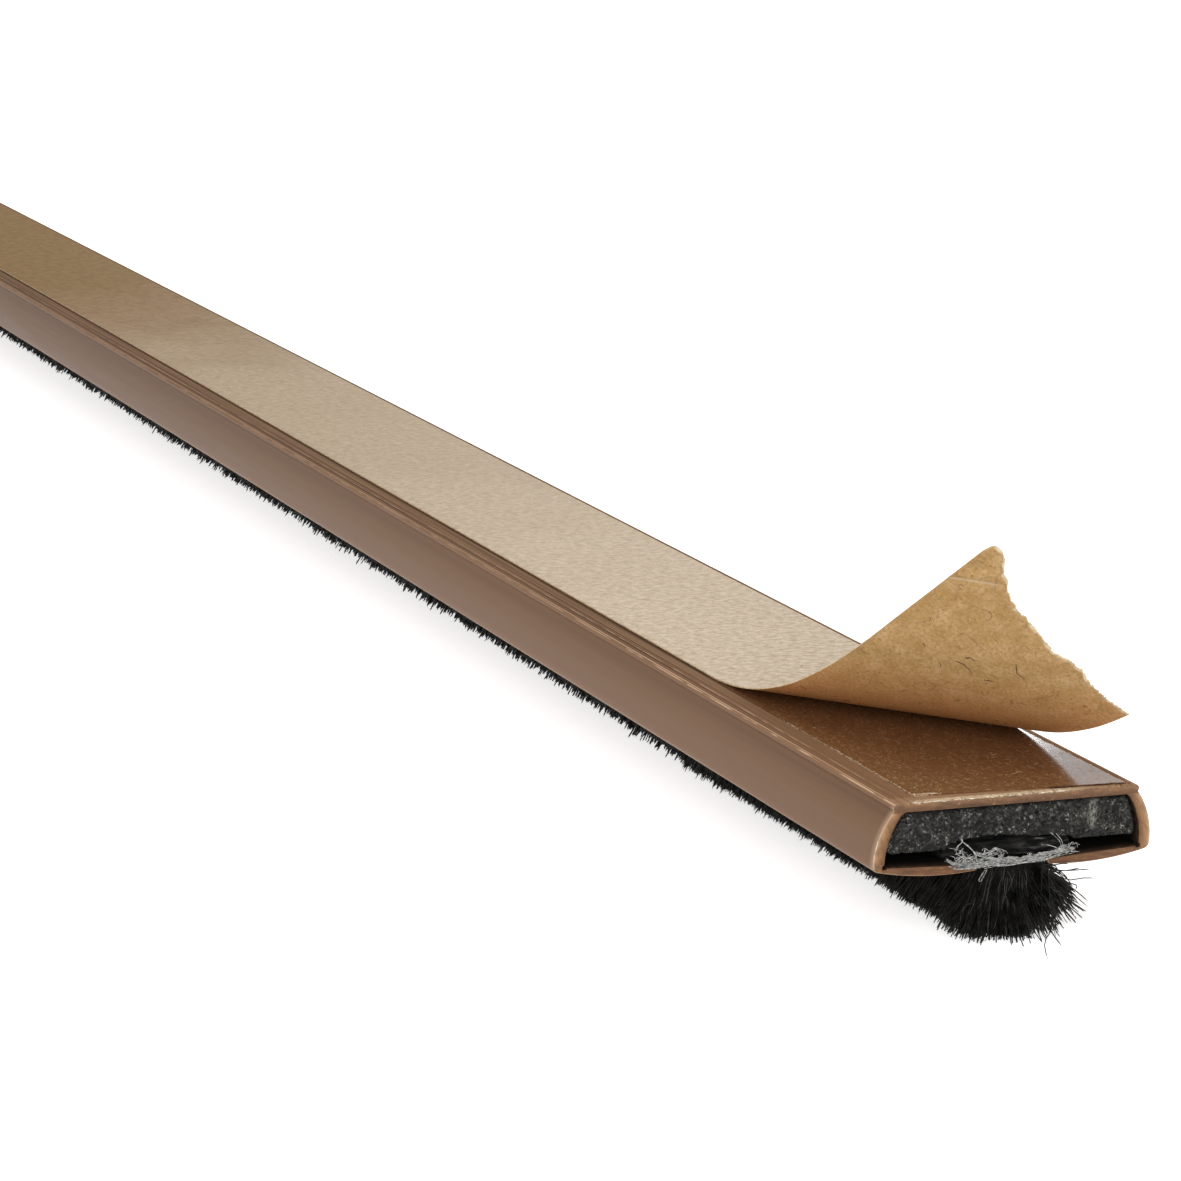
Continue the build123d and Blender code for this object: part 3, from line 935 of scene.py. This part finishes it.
# Single strands: straight ones over the left tangle, a hanging loop, and two over the right bunch
yarn_singles = (
    ((-4.7, 7.45), (-4.4, 7.1), (-3.9, 6.75), (-3.45, 6.3), (-3.2, 5.6)),
    ((-4.5, 7.2), (-4.1, 6.95), (-3.6, 6.5), (-3.3, 6.1), (-3.15, 5.5)),
    ((-5.05, 6.6), (-4.85, 6.95), (-4.6, 7.1), (-4.5, 7.3), (-4.65, 7.5)),
    ((-4.9, 6.4), (-4.5, 6.15), (-4.1, 6.05), (-3.7, 5.95), (-3.3, 5.55)),
    ((-4.4, 5.7), (-4.2, 5.95), (-3.9, 6.05), (-3.6, 5.9), (-3.45, 5.55)),
    ((-3.7, 6.6), (-3.3, 6.2), (-2.9, 6.0), (-2.4, 6.1), (-1.9, 6.25)),
    ((-3.2, 6.3), (-2.7, 6.2), (-2.2, 6.4), (-1.7, 6.55), (-1.2, 6.35)),
    ((-2.2, 6.3), (-1.7, 6.5), (-1.2, 6.4), (-1.1, 6.05), (-1.45, 5.7)),
    ((-2.5, 5.1), (-2.7, 4.8), (-2.93, 4.42), (-2.9, 4.32), (-2.8, 4.3)),
    ((-2.35, 5.1), (-2.5, 4.75), (-2.65, 4.48), (-2.72, 4.32), (-2.82, 4.27)),
    ((2.45, 7.3), (2.9, 6.95), (3.2, 6.7), (3.4, 6.35), (3.5, 5.9)),
    ((2.9, 7.2), (3.15, 6.95), (3.4, 6.7), (3.5, 6.4), (3.6, 5.9)),
    ((1.8, 6.5), (2.3, 6.45), (2.8, 6.3), (3.2, 6.1), (3.6, 5.9)),
    ((1.6, 5.95), (2.2, 5.95), (2.7, 6.0), (3.1, 6.1), (3.5, 6.1)),
)


def make_yarns(material):
    """Filaments that fray out of the cords, and single strands above them."""
    steps = 14
    t = np.linspace(0, 1, steps)
    line_x = (-5.5, -4.8, -3.6, -1.7, 0.0, 1.5, 2.4, 3.3, 4.0, 4.8)
    line_z = (5.86, 5.52, 5.42, 5.44, 5.48, 5.51, 5.56, 5.78, 5.95, 5.85)
    paths = []
    for count, across, high, run, curl in yarn_groups:
        start = rng.uniform(*across, count)
        x = np.clip(start[:, None] + rng.normal(0, run, count)[:, None] * (t - 0.5), -5.6, 5.1)
        z = np.interp(x, line_x, line_z) + rng.uniform(*high, count)[:, None]
        y = np.full(x.shape, -0.34) + rng.uniform(-0.12, 0.1, count)[:, None]
        speed = rng.uniform(2.0, 6.5, (count, 3, 1))
        phase = rng.uniform(0, 2 * np.pi, (count, 3, 1))
        size = rng.uniform(0.25, 1.0, (count, 3, 1)) * np.array([1.0, 0.35, 1.0])[:, None] * curl
        wave = np.sin(speed * t + phase) * size
        paths.append(np.stack([x, y, z], axis=2) + np.moveaxis(wave, 1, 2))
    for single in yarn_singles:
        paths.append(np.insert(softened(spaced(single, steps)), 1, -0.48, axis=1)[None])
    paths = np.concatenate(paths)
    paths[..., 1] += near_y / mm
    thick = rng.uniform(0.012, 0.026, len(paths))
    thick[-len(yarn_singles):] = 0.025
    radii = np.outer(thick * mm, np.append(np.ones(steps - 1), 0.0))
    return strands("frayed_yarns", paths * mm, radii, material)


# Bristle pile

def pile_edge(share, spread, height):
    """Tip of a bristle whose root lies at a share of the slot's half width, as X and Z in millimetres."""
    foot, neck, flat = 2.6, 2.7, 0.45
    u = np.clip((np.abs(share) - flat) / (1 - flat), 0, 1.1)
    out = np.where(np.abs(share) < flat, np.abs(share) / flat * foot, foot + u * (neck + spread - foot))
    return np.sign(share) * out, height * u**1.1


def make_pile_body(material):
    """Dense dark inside of the pile, well within the bristle tips."""
    x, z = pile_edge(np.linspace(-1, 1, 27), 1.8, 1.1)
    under = np.column_stack([x * 0.97, z + 0.14]) * mm
    neck = 2.4 * mm
    neck_z = lip_low_z - 0.4 * mm
    roof = np.array([(neck, neck_z), (neck, lip_top_z), (-neck, lip_top_z), (-neck, neck_z)])
    outline = np.concatenate([under, roof])[::-1]
    # The body is drawn in at the near end, where the bristles stand loose
    near_part = ((1.6, 0.75), (2.2, 0.55), (3.0, 0.35), (4.0, 0.15), (5.0, 0.05))
    stations = [(near_y + y * mm, inset * mm) for y, inset in near_part]
    stations += [(y, 0.0) for y in np.arange(near_y + 6 * mm, far_y - 3 * mm, 2 * mm)]
    stations += [(far_y - 2.2 * mm, 0.2 * mm), (far_y - 1.3 * mm, 0.6 * mm)]
    points, faces = swept(outline, stations)
    loose = points[:, 2] < lip_low_z - 0.5 * mm
    points[loose, 2] += rough(points[loose], 0.7 * mm, 2.0) * 0.2 * mm
    points[loose, 0] += rough(points[loose], 0.9 * mm, 8.0) * 0.15 * mm
    return add_piece("pile_body", points, faces, [material], ("pile",), crease=60)


def bristle_paths(y, share, spread, height, reach, lean, steps=4, start=0.2, tuft=0.7, gather_most=0.8):
    """Paths of bristles rooted at y and at a share of the slot's width, gathered into tufts."""
    count = len(y)
    tip_x, tip_z = pile_edge(share, spread, height)
    root_reach, root_z = 2.5, 5.2
    root_x = share * root_reach
    tuft_sway = 0.2 * np.sin(y / (3.1 * mm))
    tuft_y = np.round(y / (tuft * mm) + tuft_sway) * tuft
    gather = rng.uniform(0.0, gather_most, count)
    tip_y = y / mm * (1 - gather) + tuft_y * gather + lean
    t = np.append(np.linspace(start, 0.98, steps - 1), 1.0)[None]
    along_x = root_x[:, None] + (tip_x - root_x)[:, None] * t**1.5 * reach[:, None]
    along_y = (y / mm)[:, None] + (tip_y - y / mm)[:, None] * t**2
    along_z = root_z + (tip_z - root_z)[:, None] * t * reach[:, None]
    paths = np.stack([along_x, along_y, along_z], axis=2)
    paths[:, 1:-1] += rng.normal(0, 0.05, (count, steps - 2, 3))
    paths[:, -1] += (paths[:, -2] - paths[:, -3]) * 0.03
    paths[..., 2] = np.maximum(paths[..., 2], 0.06)
    return paths * mm


def sides_and_end(share, y, fades):
    """How far roots lie to the right and to the left, and how close to the sawn end, all from 0 to 1."""
    return np.clip(share, 0, 1), np.clip(-share, 0, 1), np.clip(1 - (y - near_y) / (fades * mm), 0, 1)


def make_bristles(name, first, last, count, thick, material, tuft, outer):
    """Bristles from one distance to another along the strip; outer is the share on the flanks alone."""
    y = near_y + rng.uniform(first, last, count) * mm
    share = rng.uniform(-1, 1, count)
    on_flank = rng.uniform(size=count) < outer
    share = np.where(on_flank, np.sign(share) * rng.uniform(0.86, 1.03, count), share)
    patch = rough(np.column_stack([y * 0, y, y * 0]), 1.3 * mm, 6.0)
    reach = 1.01 + rng.normal(0.0, 0.045, count) + 0.08 * patch
    right, left, closeness = sides_and_end(share, y, 7)
    lifted = np.clip(1 - (y - near_y) / (34 * mm), 0, 1) ** 0.5
    spread = 1.8 + closeness * right * 0.7
    height = 1.05 + closeness * (right * 0.45 + left * 0.3) + lifted * left * 0.45
    paths = bristle_paths(y, share, spread, height, reach, rng.normal(-0.15, 0.25, count), tuft=tuft)
    radii = hair_radii(0.75 * thick, 1.15 * thick, count, (1.0, 1.0, 0.85, 0.0))
    return strands(name, paths, radii, material)


def end_bristle_paths(count, unruly, steps=6):
    """Paths of the bristles of the sawn end, which fan out forward and, more thinly, to the right."""
    y = near_y + np.abs(rng.normal(0.0, 1.0, count)) * mm
    share = rng.uniform(-1, 1, count)
    moved = (share > 0.5) & (rng.uniform(size=count) < 0.45)
    share = np.where(moved, share - 0.7, share)
    long = rng.uniform(size=count) < np.where(share > 0.3, 0.2, 0.4)
    short_reach = np.where(share > 0.3, rng.uniform(0.5, 0.8, count), rng.uniform(0.74, 0.95, count))
    reach = np.where(long, rng.normal(0.98, 0.06, count), short_reach)
    right, left, closeness = sides_and_end(share, y, 5)
    spread = 1.8 + closeness * right * 1.2 + rng.normal(0, 0.4, count)
    height = np.clip(1.1 + closeness * (right * 0.4 + left * 0.5) + rng.normal(0, 0.3, count), 0.2, 3)
    lean = -rng.gamma(1.6, 0.42, count) * closeness * (1 - 0.4 * left)
    paths = bristle_paths(y, share, spread, height, reach, lean, steps, start=0.0, tuft=0.9, gather_most=0.4)
    towards_tip = np.linspace(0, 1, steps)[None, :, None] ** 2
    paths += rng.normal(0, unruly, (count, 1, 3)) * towards_tip * mm
    paths[:, -1] = paths[:, -2] + (paths[:, -2] - paths[:, -3]) * 0.05
    paths[..., 2] = np.maximum(paths[..., 2], 0.05 * mm)
    return paths


def make_end_bristles(count, material):
    paths = end_bristle_paths(count, 0.42)
    radii = hair_radii(0.04, 0.0575, count, (1.0, 1.0, 1.0, 0.95, 0.85, 0.0))
    return strands("end_bristles", paths, radii, material)


def make_bristle_highlights(count, material):
    """Short pieces of bent bristle in a paler material, as painted highlights in front of the dark ones."""
    paths = end_bristle_paths(count, 0.6)
    steps = paths.shape[1]
    t = np.linspace(0, 1, steps)
    first = rng.uniform(0.0, 0.65, count)[:, None]
    places = (first + rng.uniform(0.2, 0.4, count)[:, None] * t) * (steps - 1)
    places = np.clip(places, 0, steps - 1.001)
    before = places.astype(int)
    rest = (places - before)[..., None]
    hair = np.arange(count)[:, None]
    bits = paths[hair, before] * (1 - rest) + paths[hair, before + 1] * rest
    bend = rng.normal(0, 0.16, (count, 1, 3)) * np.sin(np.pi * t)[None, :, None]
    bits += (bend - [0.0, 0.25, 0.0]) * mm
    radii = hair_radii(0.014, 0.026, count, (0.6, 1.0, 1.0, 1.0, 0.8, 0.0))
    return strands("bristle_highlight_bits", bits, radii, material)


# Groups of loose bristles: how many, how steeply they fall in degrees, how long, and how far along the
# strip they start
stray_groups = (
    (40, (5, 33), (0.7, 2.0), (-0.3, 1.2)),
    (60, (29, 39), (1.8, 3.3), (-0.7, 0.9)),
    (40, (36, 60), (3.0, 4.6), (-0.7, 0.8)),
    (26, (60, 88), (3.6, 4.9), (-0.9, 0.4)),
)
# Five single ones at their places in the photo's view, and two that lie forward on the floor
stray_singles = (
    ((2.4, 0.2, 4.9), (3.4, -0.1, 4.35), (4.3, -0.4, 4.45), (5.2, -0.6, 4.68)),
    ((2.4, 0.3, 4.8), (3.7, 0.0, 4.3), (5.0, -0.3, 4.4), (6.1, -0.5, 4.43)),
    ((2.4, 0.1, 4.7), (4.3, -0.3, 3.6), (5.3, -0.5, 3.9), (6.5, -0.6, 3.77)),
    ((2.5, 0.2, 4.9), (3.3, 0.0, 4.75), (3.8, -0.2, 4.95), (4.4, -0.3, 4.85)),
    ((3.6, 0.0, 3.6), (4.6, -0.4, 3.5), (5.1, -0.5, 3.35), (4.9, -0.5, 3.05)),
    ((3.3, 0.6, 1.6), (3.6, -0.3, 0.06), (1.9, -1.6, 0.06), (0.0, -5.3, 0.06)),
    ((3.0, 0.6, 1.5), (3.7, 0.6, 0.3), (3.2, -1.1, 0.06), (2.6, -3.0, 0.06)),
)


def make_strays(material):
    """Loose bristles to the right of the sawn end: short ones, a clump, long ones and single ones."""
    steps = 8
    t = np.linspace(0, 1, steps)[:, None]
    paths = []
    for count, fall, long, start in stray_groups:
        for _ in range(count):
            angle = radians(rng.uniform(*fall))
            root = np.array([2.1 + rng.uniform(-0.3, 0.3), rng.uniform(*start), 4.95 - rng.uniform(0, 0.3)])
            out = np.array([cos(angle), rng.normal(-0.12, 0.1), -sin(angle)]) * rng.uniform(*long)
            bend = rng.normal(0, 0.25, 3) * t * (1 - t) * 2
            paths.append(root + out * t + bend + rng.normal(0, 0.08, 3) * t**3)
    paths += [softened(spaced(single, steps)) for single in stray_singles]
    paths = np.array(paths)
    paths[..., 1] += near_y / mm
    thick = rng.uniform(0.038, 0.056, len(paths))
    lying = 2
    thick[-len(stray_singles):-lying] = 0.045
    radii = np.outer(thick * mm, (1, 1, 1, 1, 0.95, 0.95, 0.9, 0))
    return strands("stray_bristles", paths * mm, radii, material)


# Adhesive

def make_adhesive(material):
    """Thin adhesive layer, its front edge on a slant and its outline a little ragged where it shows."""
    length = far_y - near_y
    # Rows are closer together where the adhesive is bare
    fine_end = 47 * mm
    rows = np.concatenate([np.arange(0, 46.0, 0.5) * mm, np.linspace(48 * mm, length, 40)])
    columns = np.linspace(0, 1, 33)
    top = []
    for i, gone in enumerate(rows):
        sway = 0.06 * mm if gone < fine_end else 0.0
        bare = bare_overhang * min(1.0, max(0.0, 2.0 - gone / overhang_fades))
        left = adhesive_low.x - bare + sway * (0.5 + noise_at(0, gone / (0.8 * mm), 1.7))
        right = adhesive_high.x - sway * (0.5 + noise_at(0, gone / (0.8 * mm), 5.1))
        for u in columns:
            x = left + (right - left) * u
            start = adhesive_front(x) + (0.12 * mm * noise_at(u * 40, 3.3) if i == 0 else 0.0)
            top.append((x, start + (far_y - start) * gone / length, adhesive_high.z))
    top = np.array(top)
    low = top * [1, 1, 0] + [0, 0, top_z]
    index = np.arange(len(top)).reshape(len(rows), len(columns))
    return sheet_solid("adhesive", top, low, index, [material], ("adhesive_tape",))


def make_flecks(name, x, y, turn, thick, material):
    """Short bent slivers that lie on the adhesive, each at its own place and turn, in millimetres."""
    count = len(x)
    long = rng.gamma(1.5, 0.11, count)[:, None] + 0.03
    bow = rng.normal(0, 0.25, count)[:, None]
    steps = np.linspace(-0.5, 0.5, 5)
    px = x[:, None] + np.cos(turn)[:, None] * long * steps
    py = y[:, None] + np.sin(turn)[:, None] * long * steps + bow * long * steps**2
    pz = np.full(px.shape, adhesive_high.z / mm + 0.004)
    radii = hair_radii(0.008, thick, count, (0.6, 1.0, 1.0, 0.7, 0.0))
    return strands(name, np.stack([px, py, pz], axis=2) * mm, radii, material)


def make_border_flecks(material):
    """Pale ragged bits along the side borders of the bare adhesive and in its front-left corner."""
    left, right, near = (adhesive_low.x - bare_overhang) / mm, adhesive_high.x / mm, near_y / mm
    along, corner = 230, 70
    side = np.where(rng.uniform(size=along) < 0.75, left, right)
    x = np.concatenate([side + rng.normal(0, 0.05, along), left + rng.uniform(0, 1.8, corner)])
    corner_y = near + front_setback_left / mm + np.abs(rng.normal(0, 0.12, corner))
    y = np.concatenate([near + 0.8 + rng.uniform(0, 18, along), corner_y])
    turn = np.repeat([np.pi / 2, 0.0], [along, corner]) + rng.normal(0, 0.35, along + corner)
    return make_flecks("border_flecks", x, y, turn, 0.024, material)


def make_dust(material):
    """Dust caught on the bare adhesive, most of it near its front edge."""
    count, at_left = 420, 100
    left, right = adhesive_low.x / mm + 0.2, adhesive_high.x / mm - 0.2
    x = rng.uniform(left, right, count)
    x[:at_left] = left + rng.gamma(1.5, 0.9, at_left)
    y = adhesive_front(x * mm) / mm + np.clip(rng.gamma(1.5, 3.0, count), 0.1, 26)
    return make_flecks("dust_and_shade", x, y, rng.uniform(0, np.pi, count), 0.02, material)


# Release paper

def peeled(x, y):
    """Place and upward direction of a point of the flat paper, after the corner is peeled back.

    x is measured from the paper's middle and y from the near end of the strip."""
    along = np.array([cos(peel_slant), -sin(peel_slant), 0.0])
    away = np.array([-sin(peel_slant), -cos(peel_slant), 0.0])
    a = x * along[0] + (y - peel_start) * along[1]
    d = x * away[0] + (y - peel_start) * away[1]
    full = curl_radius * curl_angle
    turn = np.clip(d, 0, full) / curl_radius
    beyond = np.clip(d - full, 0, None)
    out = np.where(d > 0, curl_radius * np.sin(turn) + beyond * np.cos(turn), d)
    rise = curl_radius * (1 - np.cos(turn)) + beyond * np.sin(turn)
    rise *= 1 + 0.02 * np.clip(d / full, 0, 1) ** 2
    fold = np.array([paper_middle, near_y + peel_start, paper_low_z])
    place = fold + a[:, None] * along + out[:, None] * away + rise[:, None] * [0, 0, 1]
    up = np.sin(turn)[:, None] * -away + np.cos(turn)[:, None] * [0, 0, 1]
    return place, up


def torn_y(share):
    """Where the paper ends at a share of its width, measured from the near end of the strip."""
    smooth = -np.interp(share, torn_share, torn_reach) * mm
    fuzz = np.array([noise_at(s * 45, 0.3) * 0.16 + noise_at(s * 160, 2.1) * 0.1 for s in share.ravel()])
    return smooth + fuzz.reshape(share.shape) * np.clip((share - 0.08) / 0.08, 0.15, 1) * mm


def make_paper(outer, inner, edge):
    share = np.linspace(0, 1, 141)
    wide = len(share)
    end = torn_y(share)
    length = far_y - near_y
    fine_start = 36.0 * mm
    far_rows = length - np.linspace(0, length - fine_start, 40)[:-1]
    near_rows = (*np.linspace(0, 0.99, 196), 0.993, 0.9953, 0.9976, 1.0)
    rows = [np.full(wide, y) for y in far_rows] + [fine_start + (end - fine_start) * s for s in near_rows]
    x = np.tile((share - 0.5) * paper_width, len(rows))
    y = np.concatenate(rows)
    low, up = peeled(x, y)
    line = unit(np.array(crease_to) - np.array(crease_from))
    off = (x - crease_from[0]) * -line[1] + (y - crease_from[1]) * line[0]
    ridge = 0.09 * mm * np.exp(-((off / (0.12 * mm)) ** 2))
    crinkle = 0.035 * mm * rough(np.column_stack([x, y, x * 0]), 3.0 * mm, 4.0)
    free = np.clip((low[:, 2] - paper_low_z) / (2 * mm), 0, 1)
    low = low + up * ((ridge + crinkle) * free)[:, None]
    # The paper thins towards its tear, and shows raw fibre on both sides there
    index = np.arange(len(x)).reshape(-1, wide)
    thickness = np.full(len(x), paper_thickness)
    thickness[index[-3:]] *= np.array([0.85, 0.65, 0.45])[:, None]
    high = low + up * thickness[:, None]
    fringe = np.array([noise_at(i * 0.21, 7.7) for i in range(wide - 1)])
    frayed = np.zeros((len(index) - 1, wide - 1), bool)
    frayed[-3] = fringe > 0.2
    frayed[-2] = fringe > -0.1
    frayed[-1] = True
    flat = np.column_stack([x, y])
    skins = [outer, inner, edge]
    replaced = ("release_liner",)
    # The rows run towards the near end, so they are taken backwards for faces that look outward
    return sheet_solid("release_paper", high, low, index[::-1], skins, replaced, flat, frayed[::-1])


def make_torn_fibres(material):
    """Single fibres that stand out of the torn end of the paper."""
    count, steps = 240, 5
    share = rng.uniform(0.1, 1.0, count)
    length = rng.gamma(2.2, 0.09 * mm, count)[:, None]
    heading = rng.normal(0, 0.9, count)[:, None]
    lift = rng.uniform(0.2, 0.8, count)
    t = np.linspace(0, 1, steps)
    half = 0.502 * paper_width
    x = np.clip(((share - 0.5) * paper_width)[:, None] + np.sin(heading) * length * t, -half, half)
    y = torn_y(share)[:, None] + 0.1 * mm - (0.1 * mm + np.cos(heading) * length) * t
    place, up = peeled(x.ravel(), y.ravel())
    paths = (place + up * (paper_thickness * np.repeat(lift, steps))[:, None]).reshape(count, steps, 3)
    paths[:, 1:] += rng.normal(0, 0.015 * mm, (count, steps - 1, 3))
    radii = hair_radii(0.012, 0.022, count, (1, 1, 0.9, 0.7, 0))
    return strands("torn_fibres", paths, radii, material)


def make_shives(name, count, longest, under, material, seen=()):
    """Dark fibre bundles caught in the paper, which show on one of its sides, some at seen places."""
    x = rng.uniform(-0.48, 0.48, count)[:, None] * paper_width
    y = rng.uniform(2.0, 33.0, count)[:, None] * mm
    heading = rng.uniform(0, np.pi, count)[:, None]
    bend = rng.normal(0, 1.1, count)[:, None]
    long = (0.25 + rng.gamma(1.6, longest / 4, count)[:, None]) * mm
    steps = 7
    t = np.linspace(-0.5, 0.5, steps)
    half = 0.495 * paper_width
    flat_x = np.clip(x + np.cos(heading + bend * t) * long * t, -half, half)
    nearest = torn_y(flat_x / paper_width + 0.5) + 0.2 * mm
    flat_y = np.maximum(y + np.sin(heading + bend * t) * long * t, nearest)
    for fibre in seen:
        seen_x, seen_y = spaced(fibre, steps).T * mm
        flat_x, flat_y = np.vstack([flat_x, seen_x]), np.vstack([flat_y, seen_y])
    place, up = peeled(flat_x.ravel(), flat_y.ravel())
    paths = place + up * (-0.015 * mm if under else paper_thickness + 0.015 * mm)
    thick = np.append(rng.uniform(0.008, 0.022, count), np.full(len(seen), 0.05))
    radii = np.outer(thick * mm, (0.4, 0.9, 1, 1, 0.8, 0.5, 0))
    return strands(name, paths.reshape(-1, steps, 3), radii, material)


# Stage, light and camera

def make_floor():
    s = Shader("pale_floor")
    colour = s.ramp(s.noise(s.place(), 60.0, 3.0), (0.3, 0.8), (0.7, 0.82))
    flat = s.node("BsdfDiffuse", Color=colour).outputs[0]
    glow = s.node("Emission", Color=(1, 1, 1, 1), Strength=s.times(s.seen(), 0.7)).outputs[0]
    lit = s.node("AddShader", i0=flat, i1=glow).outputs[0]
    clear = s.node("BsdfTransparent").outputs[0]
    back = s.node("NewGeometry").outputs["Backfacing"]
    mesh = bpy.data.meshes.new("floor")
    reach = 4.0
    corners = [(-reach, -reach, 0), (reach, -reach, 0), (reach, reach, 0), (-reach, reach, 0)]
    mesh.from_pydata(corners, [], [(0, 1, 2, 3)])
    mesh.materials.append(s.finish(s.node("MixShader", Fac=back, i1=lit, i2=clear).outputs[0]))
    in_scene("floor", mesh)


def make_world():
    s = Shader("studio", "World")
    strength = s.span(s.seen(), 0.0, 1.0, 0.5, 1.0)
    back = s.node("Background", Color=(1, 1, 1, 1), Strength=strength)
    bpy.context.scene.world = s.finish(back.outputs[0])


def add_softbox(name, place, target, size, power):
    light = bpy.data.lights.new(name, "AREA")
    light.shape = "RECTANGLE"
    light.size, light.size_y = size
    light.energy = power
    lamp = in_scene(name, light)
    lamp.visible_camera = False
    lamp.location = place
    lamp.rotation_mode = "QUATERNION"
    lamp.rotation_quaternion = (Vector(target) - Vector(place)).to_track_quat("-Z", "Y")


def make_lights():
    end = (0.0, near_y, top_z)
    add_softbox("front_softbox", (-0.55, near_y - 0.5, 0.45), end, (0.6, 0.6), 2.6)
    add_softbox("low_front_softbox", (-0.25, near_y - 0.75, 0.14), end, (0.5, 0.2), 2.1)
    add_softbox("back_softbox", (0.3, near_y + 0.62, 0.165), (0.0, near_y + 0.06, top_z), (0.2, 0.13), 0.7)
    add_softbox("top_softbox", (0.1, near_y + 0.1, 0.9), (0.0, near_y + 0.1, top_z), (0.7, 0.7), 3.6)


def make_camera():
    azimuth, elevation, roll = radians(-26.537), radians(13.701), radians(4.001)
    back = Vector((sin(azimuth) * cos(elevation), -cos(azimuth) * cos(elevation), sin(elevation)))
    right = (-back).cross(Vector((0, 0, 1))).normalized()
    up = right.cross(-back)
    rolled_right = right * cos(roll) + up * sin(roll)
    rolled_up = -right * sin(roll) + up * cos(roll)
    turn = Matrix((rolled_right, rolled_up, back)).transposed()
    data = bpy.data.cameras.new("camera")
    photo_side = 1181
    focal_in_pixels = 3400
    data.sensor_width = 36.0
    data.lens = focal_in_pixels / photo_side * data.sensor_width
    data.clip_start = 0.01
    data.clip_end = 50.0
    camera = in_scene("camera", data)
    camera.matrix_world = Matrix.LocRotScale(Vector((-0.123925, near_y - 0.181884, 0.075133)), turn, None)
    bpy.context.scene.camera = camera


make_camera()
make_floor()
make_world()
make_lights()

make_channel(plastic_material(), cut_plastic_material(), cavity_material())
pale_burr_and_highlight = mottled_material("whitened_burr_and_highlight", burr, (0.36, 0.24, 0.13), (0.88, 0.79, 0.65))
brown_burr = mottled_material("brown_burr", burr, (0.13, 0.06, 0.025), (0.45, 0.28, 0.14))
painted_edge_shadow = mottled_material("painted_edge_shadow", burr, (0.015, 0.008, 0.004), (0.06, 0.03, 0.014))
make_burrs_and_shadow_bits("pale_burrs", -8.3, 4.2, 300, 0.14, pale_burr_and_highlight)
make_burrs_and_shadow_bits("brown_burrs", -9.4, 9.2, 170, 0.14, brown_burr)
# Dark slivers along the adhesive's front edge, as its painted shadow
make_burrs_and_shadow_bits("painted_edge_shadow_bits", 3.0, 9.2, 130, 0.12, painted_edge_shadow, on_adhesive=True)
make_edge_highlight(pale_burr_and_highlight)
make_core(core_material())
make_backing(woven_material())
felted = mottled_material("felted_yarn", yarn, (0.015, 0.015, 0.0135), (0.5, 0.495, 0.47), (4, 1, 1))
make_cords("yarn_band", yarn_cords, felted)
make_yarns(mottled_material("grey_yarn", yarn, (0.13, 0.129, 0.122), (0.66, 0.655, 0.62)))

black = mottled_material("black_bristle", bristle, (0.002, 0.002, 0.0018), (0.02, 0.0192, 0.016))
# Paler bristle material for painted highlights on the black bristles
grey = mottled_material("bristle_highlight", bristle, (0.015, 0.0145, 0.0125), (0.13, 0.125, 0.11))
make_pile_body(black)
make_end_bristles(2800, black)
make_bristle_highlights(360, grey)
make_strays(black)
make_bristles("bristles_near", 0.4, 40, 8500, 0.05, black, tuft=1.1, outer=0.45)
make_bristles("bristles_middle", 40, 270, 11000, 0.075, black, tuft=1.2, outer=0.45)
make_bristles("bristles_far", 270, 997, 11300, 0.12, black, tuft=1.5, outer=0.4)
make_bristles("bristles_last", 988, 999.7, 3000, 0.05, black, tuft=1.1, outer=0.3)

make_adhesive(adhesive_material())
make_border_flecks(mottled_material("pale_flecks", burr, (0.3, 0.18, 0.09), (0.72, 0.58, 0.42)))
make_dust(mottled_material("dull_dust", burr, (0.24, 0.13, 0.065), (0.55, 0.37, 0.22)))
make_paper(coated_material(), kraft_material(), torn_paper_material())
make_torn_fibres(torn_paper_material())
dark_fibre = mottled_material("dark_shive", burr, (0.05, 0.022, 0.008), (0.2, 0.1, 0.04))
make_shives("inner_shives", 60, 1.1, True, dark_fibre, seen_fibres)
make_shives("outer_shives", 40, 0.8, False, dark_fibre)

bpy.context.scene.view_settings.view_transform = "Standard"
